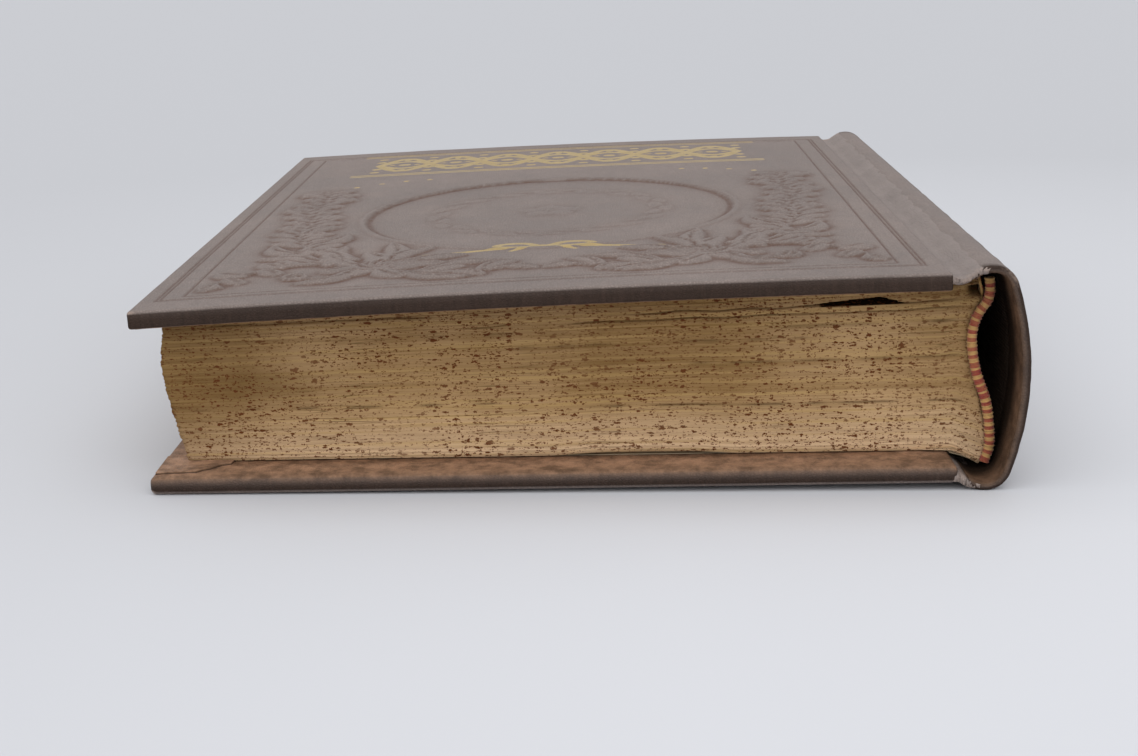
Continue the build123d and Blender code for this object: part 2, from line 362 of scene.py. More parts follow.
def patchy_tone(n, given):
    """Slow changes of tone over old leather or paper, from 0 to 1."""
    place = n.add("ShaderNodeTexCoord").outputs["Object"]
    large = n.noise(place, given["Scale"], 4.0, 0.6)
    small = n.noise(place, n.math("MULTIPLY", given["Scale"], 9.0), 3.0, 0.6)
    both = n.math("ADD", n.math("MULTIPLY", large, 0.65), n.math("MULTIPLY", small, 0.35))
    return {"Tone": n.span(both, 0.36, 0.66)}


def rubbed_edges(n, given):
    """Where handling has rubbed the surface, from the piece's own rub attribute."""
    place = n.add("ShaderNodeTexCoord").outputs["Object"]
    rub = n.add("ShaderNodeAttribute", attribute_name="rub").outputs["Fac"]
    broken = n.noise(place, given["Scale"], 5.0, 0.7)
    edge = n.math("ADD", n.math("MULTIPLY", rub, 1.25), n.math("MULTIPLY", broken, 1.0))
    return {"Mask": n.span(edge, given["Start"], n.math("ADD", given["Start"], 0.35))}


def place_group(n, name, inputs, outputs, build, values=None):
    node = n.add("ShaderNodeGroup", node_tree=group(name, inputs, outputs, build))
    for key, value in (values or {}).items():
        node.inputs[key].default_value = value
    return node


def grain_node(n, pores=1500.0, creases=0.6):
    return place_group(
        n, "leather_grain",
        [("Pores", "NodeSocketFloat", 1500.0), ("Creases", "NodeSocketFloat", 0.6)],
        [("Height", "NodeSocketFloat"), ("Pits", "NodeSocketFloat")],
        leather_grain, {"Pores": pores, "Creases": creases})


def tone_node(n, scale):
    return place_group(n, "patchy_tone", [("Scale", "NodeSocketFloat", 30.0)],
                       [("Tone", "NodeSocketFloat")], patchy_tone, {"Scale": scale})


def rub_node(n, scale, start):
    return place_group(
        n, "rubbed_edges",
        [("Scale", "NodeSocketFloat", 400.0), ("Start", "NodeSocketFloat", 1.0)],
        [("Mask", "NodeSocketFloat")], rubbed_edges, {"Scale": scale, "Start": start})


def surface(name, build, roughness=0.6, specular=0.35, metallic=0.0, sheen=0.0):
    """A material whose colour, roughness and height come from build(n)."""
    material = bpy.data.materials.get(name)
    if material:
        return material
    material = bpy.data.materials.new(name)
    material.use_nodes = True
    n = Nodes(material.node_tree)
    shader = n.add("ShaderNodeBsdfPrincipled")
    shader.inputs["Roughness"].default_value = roughness
    shader.inputs["Metallic"].default_value = metallic
    shader.inputs["Specular IOR Level"].default_value = specular
    shader.inputs["Sheen Weight"].default_value = sheen
    made = build(n)
    for socket in ("Base Color", "Roughness", "Metallic"):
        if socket in made:
            material.node_tree.links.new(made[socket], shader.inputs[socket])
    if "Height" in made:
        bump = n.add("ShaderNodeBump", {"Height": made["Height"]})
        bump.inputs["Strength"].default_value = made.get("Strength", 0.5)
        bump.inputs["Distance"].default_value = made.get("Distance", 0.0002)
        material.node_tree.links.new(bump.outputs["Normal"], shader.inputs["Normal"])
    out = n.add("ShaderNodeOutputMaterial", {"Surface": shader.outputs["BSDF"]})
    out.is_active_output = True
    return material


# --- materials ----------------------------------------------------------------
def cover_leather_look():
    """Taupe calf, its brown with painted sheen: painted shade in the tooled hollows, on the dark
    edges, inside the spine and on the mitres; rubbed pale at corners.
    """
    c = colours()

    def build(n):
        grain = grain_node(n)
        tone = tone_node(n, 24.0).outputs["Tone"]
        rub = rub_node(n, 420.0, 1.12).outputs["Mask"]
        hollow = n.add("ShaderNodeAttribute", attribute_name="hollow").outputs["Fac"]
        edge = n.add("ShaderNodeAttribute", attribute_name="edge").outputs["Fac"]
        inside = n.add("ShaderNodeAttribute", attribute_name="inside").outputs["Fac"]
        painted_shade = n.add("ShaderNodeAttribute", attribute_name="painted_shade").outputs["Fac"]
        gilt = n.add("ShaderNodeAttribute", attribute_name="gilt").outputs["Fac"]
        place = n.add("ShaderNodeTexCoord").outputs["Object"]
        lighter = [min(1.0, v * 1.34) for v in c.leather]
        base = n.mix(tone, c.leather, lighter)
        pits = n.math("SUBTRACT", 1.0, grain.outputs["Pits"])
        base = n.mix(n.math("MULTIPLY", pits, 0.30), base, c.leather_dark)
        # Painted shade: the tooled hollows darken towards a reddish brown, broken by noise.
        reddish = [v * f for v, f in zip(c.leather_inside, (0.36, 0.30, 0.32))]
        broken = n.span(n.noise(place, 500.0, 4.0, 0.6), 0.3, 0.7, 0.55, 1.0)
        base = n.mix(n.math("MULTIPLY", n.math("MULTIPLY", hollow, broken), 0.9), base, reddish)
        turned = n.mix(n.span(n.noise(place, 240.0, 5.0, 0.7), 0.38, 0.62),
                       [v * 0.62 for v in c.leather_inside],
                       [v * 1.50 for v in c.leather_inside])
        base = n.mix(inside, base, turned)
        streaks = n.add("ShaderNodeMapping", {"Vector": place})
        streaks.inputs["Scale"].default_value = (1100.0, 1100.0, 260.0)
        streak = n.span(n.noise(streaks.outputs["Vector"], 1.0, 5.0, 0.75), 0.30, 0.85)
        # Edges and sides: real streaks in a dark brown that holds painted shade.
        side = n.mix(streak, c.leather_dark,
                     [v * f for v, f in zip(c.leather, (0.27, 0.20, 0.165))])
        base = n.mix(edge, base, side)
        base = n.mix(n.math("MULTIPLY", rub, 0.75), base, c.leather_worn)
        # Painted shade: near black inside the spine and on the mitres' sides.
        base = n.mix(painted_shade, base, (0.010, 0.006, 0.004))
        worn = n.math("MULTIPLY", n.noise(place, 900.0, 4.0, 0.7), 0.55)
        leaf = n.math("SUBTRACT", gilt, n.math("ADD", worn, 0.12))
        leaf = n.span(leaf, 0.0, 0.10)
        rubbed = n.mix(n.noise(place, 300.0), [v * 0.62 for v in c.gilt], c.gilt)
        base = n.mix(leaf, base, rubbed)
        rough = n.span(tone, 0.0, 1.0, 0.50, 0.66)
        rough = n.math("SUBTRACT", rough, n.math("MULTIPLY", leaf, 0.12))
        return {"Base Color": base, "Roughness": rough, "Height": grain.outputs["Height"],
                "Metallic": n.math("MULTIPLY", leaf, 0.35), "Strength": 0.65,
                "Distance": 0.00028}

    return surface("worn_calf", build, specular=0.13)


def joint_leather_look():
    """Thin, cracked leather in the joints, worn to pinkish beige."""
    c = colours()

    def build(n):
        grain = grain_node(n, 1100.0, 0.9)
        tone = tone_node(n, 60.0).outputs["Tone"]
        rub = rub_node(n, 700.0, 1.0).outputs["Mask"]
        lighter = [min(1.0, v * 1.25) for v in c.leather]
        base = n.mix(tone, c.leather, lighter)
        base = n.mix(n.math("MULTIPLY", rub, 0.65), base, c.leather_worn)
        return {"Base Color": base, "Height": grain.outputs["Height"], "Strength": 0.8,
                "Distance": 0.0003}

    return surface("joint_calf", build, roughness=0.62, specular=0.35)


def leaf_edge_look():
    """Ochre leaf edges with thousands of leaves, blotchy stains and brown sprinkling, with painted
    shade darker towards the top, in patches, in the partings and where leaves part wide.
    """
    c = colours()

    def build(n):
        place = n.add("ShaderNodeTexCoord").outputs["Object"]
        uv = n.add("ShaderNodeUVMap", uv_map="leaves").outputs["UV"]
        parts = n.add("ShaderNodeSeparateXYZ", {"Vector": uv})
        height = parts.outputs["Y"]
        leaves = n.add("ShaderNodeMapping", {"Vector": uv})
        leaves.inputs["Scale"].default_value = (14.0, 2300.0, 1.0)
        fine = n.noise(leaves.outputs["Vector"], 1.0, 5.0, 0.75)
        bands = n.add("ShaderNodeMapping", {"Vector": uv})
        bands.inputs["Scale"].default_value = (9.0, 420.0, 1.0)
        sections = n.noise(bands.outputs["Vector"], 1.0, 3.0, 0.6)
        blot = n.noise(place, 26.0, 3.0, 0.55)
        # Painted shade: the leaves darken from the bottom towards the top, under the overhanging
        # front cover, with blotchy stains mixed in.
        rise = n.span(height, 0.002, 0.017)
        shade = n.math("ADD", n.math("MULTIPLY", rise, 0.74),
                       n.math("MULTIPLY", n.span(blot, 0.35, 0.65), 0.50))
        base = n.mix(n.span(shade, 0.1, 1.2), c.leaf_light, c.leaf_dark)
        base = n.mix(n.span(fine, 0.35, 0.75, 0.0, 0.38), base,
                     [min(1.0, v * 1.15) for v in c.leaf_light])
        base = n.mix(n.span(sections, 0.52, 0.72, 0.0, 0.5), base, c.leaf_dark)
        # Painted light: the lowest leaves turn paler and pinkish.
        base = n.mix(n.span(height, 0.012, 0.002, 0.0, 0.5), base, c.leaf_low)
        drift = n.add("ShaderNodeMapping", {"Vector": uv})
        drift.inputs["Scale"].default_value = (11.0, 900.0, 1.0)
        yellow = n.span(n.noise(drift.outputs["Vector"], 1.0, 2.0, 0.5), 0.50, 0.66, 0.0, 0.55)
        base = n.mix(yellow, base, c.leaf_yellow)
        # Painted shade: thin dark lines where leaves part.
        parting = n.add("ShaderNodeMapping", {"Vector": uv})
        parting.inputs["Scale"].default_value = (16.0, 520.0, 1.0)
        level = n.noise(parting.outputs["Vector"], 1.0, 1.0, 0.5)
        level = n.math("ABSOLUTE", n.math("SUBTRACT", level, 0.54))
        line = n.span(level, 0.0, 0.016, 0.75, 0.0)
        line = n.math("MULTIPLY", line, n.span(n.noise(place, 38.0, 2.0), 0.45, 0.6))
        base = n.mix(line, base, [v * 0.35 for v in c.leaf_dark])
        # Painted shade in patches over the leaf edges.
        shade_patch = n.add("ShaderNodeAttribute", attribute_name="shade_patch").outputs["Fac"]
        base = n.mix(n.math("MULTIPLY", shade_patch, n.span(blot, 0.2, 0.6, 0.5, 1.0)), base,
                     [v * 0.72 for v in c.leaf_dark])
        # Painted shade: near black in the partings, the tear, the pocket by the spine and under the
        # lifted leaves.
        gap_shade = n.add("ShaderNodeAttribute", attribute_name="gap_shade").outputs["Fac"]
        base = n.mix(gap_shade, base, [v * 0.05 for v in c.leaf_dark])
        stretch = n.add("ShaderNodeMapping", {"Vector": place})
        stretch.inputs["Scale"].default_value = (0.40, 0.40, 1.0)
        wobble = n.add("ShaderNodeTexNoise", {"Vector": place, "Scale": 1900.0})
        spots = n.add("ShaderNodeMix", {0: 0.0007, 4: stretch.outputs["Vector"],
                                        5: wobble.outputs["Color"]},
                      data_type="VECTOR").outputs[1]
        mask = None
        for scale, size, share in ((1050.0, 0.40, 0.55), (1800.0, 0.46, 0.76),
                                   (2900.0, 0.50, 0.80)):
            cell = n.add("ShaderNodeTexVoronoi", {"Vector": spots, "Scale": scale})
            pick = n.add("ShaderNodeSeparateColor", {"Color": cell.outputs["Color"]})
            radius = n.math("MULTIPLY", n.span(pick.outputs["Red"], 1.0 - share, 1.0), size)
            dot = n.math("SUBTRACT", radius, cell.outputs["Distance"])
            dot = n.span(dot, 0.0, 0.06)
            mask = dot if mask is None else n.math("MAXIMUM", mask, dot)
        crowd = n.span(n.noise(place, 45.0, 2.0), 0.30, 0.55, 0.55, 1.0)
        mask = n.math("MULTIPLY", mask, crowd)
        base = n.mix(mask, base, c.speck)
        relief = n.math("ADD", fine, n.math("MULTIPLY", sections, 0.8))
        return {"Base Color": base, "Height": relief, "Strength": 0.75, "Distance": 0.00025}

    return surface("leaf_edges", build, roughness=0.85, specular=0.06)


def paper_look(name):
    """Aged cream paper with foxing."""
    c = colours()

    def build(n):
        tone = tone_node(n, 35.0).outputs["Tone"]
        light = [min(1.0, v * 1.12) for v in c.paper]
        dark = [v * 0.86 for v in c.paper]
        base = n.mix(tone, dark, light)
        place = n.add("ShaderNodeTexCoord").outputs["Object"]
        return {"Base Color": base, "Height": n.noise(place, 1800.0, 4.0), "Strength": 0.25,
                "Distance": 0.0001}

    return surface(name, build, roughness=0.85, specular=0.15)


def thread_look():
    """Red and yellow silk of the end bands, by the stripe attribute."""
    c = colours()

    def build(n):
        stripe = n.add("ShaderNodeAttribute", attribute_name="stripe").outputs["Fac"]
        tone = tone_node(n, 300.0).outputs["Tone"]
        faded = n.mix(n.math("MULTIPLY", tone, 0.45), c.band_yellow,
                      [v * 0.6 for v in c.band_yellow])
        red = n.mix(n.math("MULTIPLY", tone, 0.4), c.band_red, c.band_yellow)
        base = n.mix(n.span(stripe, 0.45, 0.55), faded, red)
        place = n.add("ShaderNodeTexCoord").outputs["Object"]
        return {"Base Color": base, "Height": n.noise(place, 3800.0, 4.0), "Strength": 0.5,
                "Distance": 0.00015}

    return surface("silk_threads", build, roughness=0.7, specular=0.25, sheen=0.2)


def cloth_look(name, tint):
    """Plain woven cloth glued with brown glue."""

    def build(n):
        place = n.add("ShaderNodeTexCoord").outputs["Object"]
        tone = tone_node(n, 120.0).outputs["Tone"]
        base = n.mix(tone, [v * 0.6 for v in tint], tint)
        weft = n.add("ShaderNodeTexWave", {"Vector": place, "Scale": 420.0, "Distortion": 1.5},
                     bands_direction="Y").outputs["Fac"]
        warp = n.add("ShaderNodeTexWave", {"Vector": place, "Scale": 420.0, "Distortion": 1.5},
                     bands_direction="Z").outputs["Fac"]
        return {"Base Color": base, "Height": n.math("ADD", weft, warp), "Strength": 0.5,
                "Distance": 0.0002}

    return surface(name, build, roughness=0.85, specular=0.15)


def board_look():
    """Grey-brown millboard."""

    def build(n):
        tone = tone_node(n, 200.0).outputs["Tone"]
        place = n.add("ShaderNodeTexCoord").outputs["Object"]
        return {"Base Color": n.mix(tone, (0.16, 0.125, 0.09), (0.24, 0.19, 0.14)),
                "Height": n.noise(place, 1500.0, 4.0), "Strength": 0.4, "Distance": 0.0002}

    return surface("grey_millboard", build, roughness=0.9, specular=0.15)


def finish_piece(piece, material, body, slot, *nodes):
    """Give a piece its material and its body, and hide the CAD nodes it stands for; the slot is not
    used.
    """
    piece.data.materials.clear()
    piece.data.materials.append(material)
    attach(piece, body)
    if nodes:
        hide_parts(*nodes)
    return piece


# --- the covers' own coordinates ------------------------------------------------
class Cover:
    """u runs from the fore edge to the joint, v from tail to head and w outward, in mm."""

    def __init__(self, side):
        s = sizes()
        self.front = side == "front"
        self.body = FRONT_BODY if self.front else BACK_BODY
        low, high = (np.array(corner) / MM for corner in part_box(side + "_board"))
        dx, dy, dz = high - low
        tilt = 0.0
        for _ in range(20):
            tilt = math.atan((dz - s.board * math.cos(2 * tilt) / math.cos(tilt)) / dx)
        self.tilt = tilt
        width = (dx - s.board * math.sin(tilt)) / math.cos(tilt)
        self.along = np.array([math.cos(tilt), 0.0, math.sin(tilt)])
        outward = np.array([-math.sin(tilt), 0.0, math.cos(tilt)])
        self.outward = outward if self.front else -outward
        if self.front:
            corner = np.array([low[0], low[1], high[2] - width * math.sin(tilt)])
        else:
            corner = np.array([low[0] + s.board * math.sin(tilt), low[1], low[2]])
        self.corner = corner - s.skin * self.along + s.skin * self.outward
        self.corner[1] -= s.skin
        self.width = width + 2 * s.skin
        self.length = dy + 2 * s.skin
        self.thick = s.board + s.skin + s.turn_in_skin

    def warp(self, u, v):
        """Outward bow and lift of the front cover."""
        if not self.front:
            return np.zeros_like(u)
        s = sizes()
        bow = s.front_bow * (1 - (2 * u / self.width - 1) ** 2)
        fade = np.clip(v / self.length, 0, 1) * np.clip(1 - u / self.width, 0, 1)
        return bow + s.front_lift * fade

    def at(self, p):
        """Points (u, v, w) in mm as points of the book in metres."""
        u, v, w = p[:, 0], p[:, 1], p[:, 2] + self.warp(p[:, 0], p[:, 1])
        place = self.corner[None, :] + u[:, None] * self.along + w[:, None] * self.outward
        place[:, 1] += v
        return place * MM

    def inner_z(self, x):
        """Height in mm of the inner face over x, ignoring the lift."""
        run = (x - self.corner[0]) / math.cos(self.tilt)
        side = -1 if self.front else 1
        face = self.corner[2] + run * math.sin(self.tilt)
        return face + side * self.thick / math.cos(self.tilt)


# --- the blind-tooled relief ----------------------------------------------------
class Relief:
    """Heights in mm over a grid of u and v lines, pressed in by strokes."""

    def __init__(self, us, vs):
        self.us, self.vs = us, vs
        self.height = np.zeros((len(vs), len(us)))

    def stroke(self, path, radius, height):
        """A rounded ridge (or a groove, if height is negative) along a path."""
        radius = np.broadcast_to(radius, len(path))
        height = np.broadcast_to(height, len(path))
        for (u, v), r, h in zip(path, radius, height):
            c0, c1 = np.searchsorted(self.us, (u - r, u + r))
            r0, r1 = np.searchsorted(self.vs, (v - r, v + r))
            if c0 >= c1 or r0 >= r1:
                continue
            far = (self.us[c0:c1] - u)[None, :] ** 2 + (self.vs[r0:r1] - v)[:, None] ** 2
            dome = np.clip(1 - far / r ** 2, 0, 1) ** 0.8 * h
            part = self.height[r0:r1, c0:c1]
            if h > 0:
                part[...] = np.maximum(part, dome)
            else:
                part[...] = np.where(dome < 0, np.minimum(part, dome), part)

    def leaf(self, base, tip, width, bend, height):
        """A pointed leaf with a vein."""
        base, tip = np.asarray(base, float), np.asarray(tip, float)
        side = np.array([-(tip - base)[1], (tip - base)[0]])
        path = spline([base, (base + tip) / 2 + side * bend, tip], 12)
        t = np.linspace(0, 1, len(path))
        swell = np.sin(np.pi * np.clip(t * 0.94 + 0.06, 0, 1)) ** 0.8
        self.stroke(path, 0.35 + width / 2 * swell, height * (0.55 + 0.45 * swell))
        self.vein(path[2:-3], 0.45, height * 0.45)

    def vein(self, path, radius, depth):
        """A crease cut into whatever stands there."""
        for u, v in path:
            c0, c1 = np.searchsorted(self.us, (u - radius, u + radius))
            r0, r1 = np.searchsorted(self.vs, (v - radius, v + radius))
            part = self.height[r0:r1, c0:c1]
            np.minimum(part, np.maximum(part - depth, depth), out=part, where=part > depth)

    def flower(self, centre, size, height, turn=0.0):
        """Five petals round a bud."""
        for k in range(5):
            angle = turn + math.tau * k / 5
            out = np.array([math.cos(angle), math.sin(angle)])
            middle = np.asarray(centre) + out * size * 0.55
            self.stroke([middle], size * 0.48, height)
            self.stroke([np.asarray(centre) + out * size * 0.85], size * 0.26, height * 0.8)
        self.stroke([centre], size * 0.24, height * 1.15)

    def scroll(self, centre, size, turns, start, height):
        """A curling tendril that thins towards its middle."""
        t = np.linspace(0, 1, 60)
        angle = start + turns * math.tau * t
        reach = size * (1 - 0.85 * t)
        path = np.stack([centre[0] + reach * np.cos(angle),
                         centre[1] + reach * np.sin(angle)], 1)
        self.stroke(path, 0.9 - 0.35 * t, height)


def corner_spray(relief, flip, height):
    """Acanthus, roses and tendrils that grow from a knot towards a tail corner.
    flip turns a point of the fore-edge spray into its place."""

    def leaf(base, tip, width, bend=0.12, share=1.0):
        relief.leaf(flip(base), flip(tip), 2.0 * width, bend * flip.hand, height * share)

    def stem(points, radius, share=0.8):
        path = spline([flip(p) for p in points], 18)
        relief.stroke(path, np.linspace(radius, radius * 0.6, len(path)), height * share)

    knot = (50.5, 29.5)
    stem([knot, (57, 25.5), (66, 22.8), (76, 24.0), (84, 29.0)], 0.9)
    stem([knot, (44, 35), (37, 43), (31, 54), (28, 68), (24, 84), (25, 102), (21, 122),
          (24, 142), (20, 160)], 0.9)
    stem([knot, (42, 25.0), (34, 23.5)], 0.9)
    stem([(38, 41), (29, 41), (22, 36), (17, 30), (14.0, 22.5)], 0.9)
    for tip, width, bend in (((60, 33), 3.4, 0.16), ((58, 42), 4.2, 0.12), ((51, 46), 4.6, 0.05),
                             ((45, 54), 4.6, -0.1), ((42, 23), 3.2, -0.2), ((57, 21), 3.0, -0.1)):
        leaf(knot, tip, width, bend)
    for base, tip, width in (((62, 24), (70, 30), 2.8), ((68, 23), (75, 18.5), 2.4),
                             ((74, 24), (82, 34), 2.6), ((80, 26), (87, 24), 2.0),
                             ((33, 42), (27, 49), 3.2), ((27, 40), (22, 46), 3.0),
                             ((23, 36), (27, 31), 2.6), ((19, 32), (13, 36), 3.0),
                             ((16, 27), (20, 23), 2.4), ((14.5, 23), (12, 17), 2.0),
                             ((31, 54), (24, 56), 3.2), ((30, 60), (37, 68), 3.6),
                             ((44, 35), (37, 31), 3.0)):
        leaf(base, tip, width)
    relief.flower(flip((39.5, 43.5)), 5.2, height, 0.4)
    relief.flower(flip((33.0, 58.5)), 5.6, height, 0.1)
    relief.flower(flip((26.5, 44.0)), 3.4, height * 0.9, 0.7)
    relief.scroll(flip((32.5, 26.5)), 3.6, 1.5 * flip.hand, math.pi / 2, height * 0.8)
    relief.scroll(flip((13.6, 19.5)), 2.6, 1.3 * flip.hand, 0.0, height * 0.7)
    garland = spline([(28, 68), (24, 84), (25, 102), (21, 122), (24, 142), (20, 160)], 4)
    for k, (u, v) in enumerate(garland[:-1]):
        side = 1 if k % 2 else -1
        leaf((u, v), (u + side * 8.0, v + 5.0), 3.4, 0.15 * side, 0.8)
        leaf((u, v), (u - side * 5.0, v + 6.5), 2.8, -0.12 * side, 0.7)
        if k % 3 == 1:
            relief.flower(flip((u - side * 5.0, v)), 3.4, height * 0.75, 0.3 * k)
    for base, tip, width, bend in (
            ((46, 34), (39, 64), 3.4, 0.16), ((49, 34), (50, 66), 3.6, -0.10),
            ((52, 33), (61, 57), 3.2, 0.14), ((54, 31), (70, 45), 3.0, 0.16),
            ((42, 38), (27, 62), 3.2, -0.14), ((36, 43), (19, 52), 3.0, -0.16),
            ((30, 54), (20, 70), 3.0, 0.15), ((29, 66), (37, 82), 3.0, -0.15),
            ((25, 84), (34, 96), 2.8, 0.12), ((60, 25), (78, 36), 2.6, 0.14),
            ((45, 27), (33, 18.5), 2.4, 0.16), ((57, 24), (72, 17.5), 2.2, -0.16)):
        leaf(base, tip, width, bend, 1.1)
    for k in range(9):
        sweep = 0.25 + 0.22 * k
        reach = 15.0 - 0.5 * k
        tip = (knot[0] + reach * math.cos(sweep) * 1.2, knot[1] + reach * math.sin(sweep))
        leaf((knot[0] + 2 * math.cos(sweep), knot[1] + 2 * math.sin(sweep)), tip, 2.6, 0.18, 0.85)


class Flip:
    """Places a point of the fore-edge spray on the joint side too."""

    def __init__(self, width, mirrored):
        self.width, self.mirrored = width, mirrored
        self.hand = -1 if mirrored else 1

    def __call__(self, p):
        return (self.width - p[0], p[1]) if self.mirrored else (p[0], p[1])


BORDERS = ((4.0, 9.6), (4.9, 10.6), (9.6, 13.2))     # (side inset, tail and head inset)


def border_lines(cover):
    """Extra grid lines that let the fine borders keep their shape."""
    us, vs = [], []
    for side, end in BORDERS:
        for step in (-0.45, 0.0, 0.45):
            us += [side + step, cover.width - side + step]
            vs += [end + step, cover.length - end + step]
    return us, vs


def tooled_relief(cover, us, vs, rich):
    """All blind tooling of a cover; rich adds the sprays and the medallion."""
    relief = Relief(us, vs)
    height = sizes().relief_height
    length = cover.length
    width = cover.width
    if rich:
        centre, reach = (width / 2, length * 0.43), (width * 0.271, length * 0.222)
        inside = (((us[None, :] - centre[0]) / reach[0]) ** 2
                  + ((vs[:, None] - centre[1]) / reach[1]) ** 2)
        for mirrored in (False, True):
            corner_spray(relief, Flip(width, mirrored), height)
        relief.height[inside < 1.06] = 0
        for k in range(34):
            angle = math.tau * k / 34
            along = np.array([-reach[0] * math.sin(angle), reach[1] * math.cos(angle)])
            along /= np.linalg.norm(along)
            spread = 0.66 if k % 2 else 0.58
            base = np.array([centre[0] + reach[0] * spread * math.cos(angle),
                             centre[1] + reach[1] * spread * math.sin(angle)])
            relief.leaf(base, base + 7.5 * along, 3.2, 0.12 if k % 2 else -0.12, height * 0.30)
        relief.flower(centre, 8.0, height * 0.30, 0.3)
        relief.height -= 0.35 * height * smoothstep(1.05, 0.95, inside)
        t = np.linspace(0, math.tau, 700)
        for scale, radius, rise in ((1.035, 1.3, 0.35), (1.0, 1.3, -0.45)):
            ring = np.stack([centre[0] + reach[0] * scale * np.cos(t),
                             centre[1] + reach[1] * scale * np.sin(t)], 1)
            relief.stroke(ring, radius, height * rise)
    for side, end in BORDERS:
        corners = [(side, end), (width - side, end), (width - side, length - end),
                   (side, length - end), (side, end)]
        for a, b in zip(corners[:-1], corners[1:]):
            t = np.linspace(0, 1, 600)[:, None]
            path = np.asarray(a) * (1 - t) + np.asarray(b) * t
            relief.stroke(path, 0.42, -0.30)
    return relief


def gilt_pattern(cover, us, vs):
    """Where gold leaf lies, as a field that falls off from the middle of each stroke."""
    gold = Relief(us, vs)
    width, length = cover.width, cover.length
    middle = width / 2
    for hand in (-1, 1):
        tail = [(0, 53.5), (7, 51.5), (13, 50.0), (20, 48.2), (28, 47.0)]
        curl = [(1, 54.0), (5, 58.5), (10, 58.2), (11.5, 55.6), (7, 54.0), (1, 53.8)]
        drop = [(1, 53.4), (5, 50.0), (7.5, 47.2)]
        for points, thick, thin in ((tail, 1.9, 0.9), (curl, 1.5, 1.2), (drop, 1.5, 0.9)):
            path = spline([(middle + hand * u, v) for u, v in points], 24)
            gold.stroke(path, np.linspace(thick, thin, len(path)), 1.0)
    gold.stroke([(middle - 0.8, 54.0), (middle + 0.8, 53.6)], 2.6, 1.0)
    low, high = length * 0.765, length * 0.955
    for v in (low, low + 2.6, high - 2.6, high):
        t = np.linspace(0, 1, 500)[:, None]
        bar = np.array([24.0, v]) * (1 - t) + np.array([width - 24.0, v]) * t
        gold.stroke(bar, 0.9, 1.0)
    centre_v = (low + high) / 2
    t = np.linspace(0, 1, 900)
    run = 30.0 + (width - 60.0) * t
    waves = 7
    for shift in (0.0, 0.5):
        for reach in (14.0, 7.5):
            wave = np.sin(math.tau * (waves * t / 2 + shift)) * reach
            path = np.stack([run, centre_v + wave], 1)
            gold.stroke(path, 1.7, 1.0)
    for k in range(waves):
        u = 30.0 + (width - 60.0) * (k + 0.5) / waves
        for du, dv, size in ((0, 0, 2.6), (0, 11, 1.6), (0, -11, 1.6), (4, 0, 1.4), (-4, 0, 1.4)):
            gold.stroke([(u + du, centre_v + dv)], size, 1.0)
    for k in range(waves + 1):
        u = 30.0 + (width - 60.0) * k / waves
        for dv in (-15.0, -8.0, 8.0, 15.0):
            gold.stroke([(u, centre_v + dv)], 2.0, 1.0)
    for hand in (-1, 1):
        for k in range(5):
            spot = (middle + hand * (38 + 7 * k), length * (0.71 - 0.004 * k * k))
            gold.stroke([spot], 1.3, 1.0)
    return gold.height


def box_blur(field, times):
    """A simple smoothing of a grid."""
    out = field
    for _ in range(times):
        padded = np.pad(out, 1, mode="edge")
        out = (padded[1:-1, :-2] + padded[1:-1, 2:] + padded[:-2, 1:-1] + padded[2:, 1:-1]
               + padded[1:-1, 1:-1]) / 5
    return out


# --- cover pieces -----------------------------------------------------------------
def tooling_grid(cover, radius, pitch_u, pitch_v):
    """Grid lines over a cover's outer face, finer at the tail, where the tooling is rich."""
    fine = cover.length * 0.36
    extra_u, extra_v = border_lines(cover)
    rim = [0.25 * radius, 0.6 * radius, radius]
    us = lines_along(cover.width, pitch_u, extra_u + rim + [cover.width - r for r in rim])
    near = lines_along(fine, pitch_v, [v for v in extra_v if v < fine] + rim)
    rest = cover.length * 0.64
    far = fine + lines_along(rest, pitch_v * 2.1, [v - fine for v in extra_v if v > fine]
                             + [rest - r for r in rim])
    return us, np.unique(np.concatenate([near, far]))


def edge_rings(cover, outline, radius, turn_in):
    """Rings from the outer face round the edge and inwards to the end of the turn-in."""
    thick = cover.thick
    rings = []
    for w in (-0.3 * radius, -0.65 * radius, -radius, -thick / 2, radius - thick,
              0.6 * radius - thick, 0.25 * radius - thick, -thick):
        rings.append(np.column_stack([outline, np.full(len(outline), w)]))
    middle = np.array([cover.width / 2, cover.length / 2])
    for inset in (0.4 * radius, radius, 3.0, 8.0, turn_in):
        moved = middle + (outline - middle) * (1 - inset / middle)
        rings.append(np.column_stack([moved, np.full(len(outline), -thick)]))
    return rings


def shell_faces(index, rings):
    """Quads over the grid and down the rings, and a bottom that closes the last ring."""
    nv, nu = index.shape
    a, b = index[:-1, :-1].ravel(), index[:-1, 1:].ravel()
    c, d = index[1:, 1:].ravel(), index[1:, :-1].ravel()
    faces = np.stack([a, b, c, d], 1).tolist()
    previous = outline_of(index)
    count = len(previous)
    following = np.roll(np.arange(count), -1)
    for k in range(rings):
        current = nu * nv + k * count + np.arange(count)
        faces += np.stack([previous, current, current[following], previous[following]],
                          1).tolist()
        previous = current
    corner_far = nu + nv - 2
    for i in range(nu - 1):
        polygon = [i, i + 1]
        if i == nu - 2:
            polygon += range(nu, corner_far)
        polygon += [corner_far + nu - 2 - i, corner_far + nu - 1 - i]
        if i == 0:
            polygon += range(corner_far + nu, count)
        faces.append(previous[polygon].tolist())
    return faces


def outline_of(index):
    """The grid's outer points in order, once round."""
    return np.concatenate([index[0, :-1], index[:-1, -1], index[-1, :0:-1], index[:0:-1, 0]])


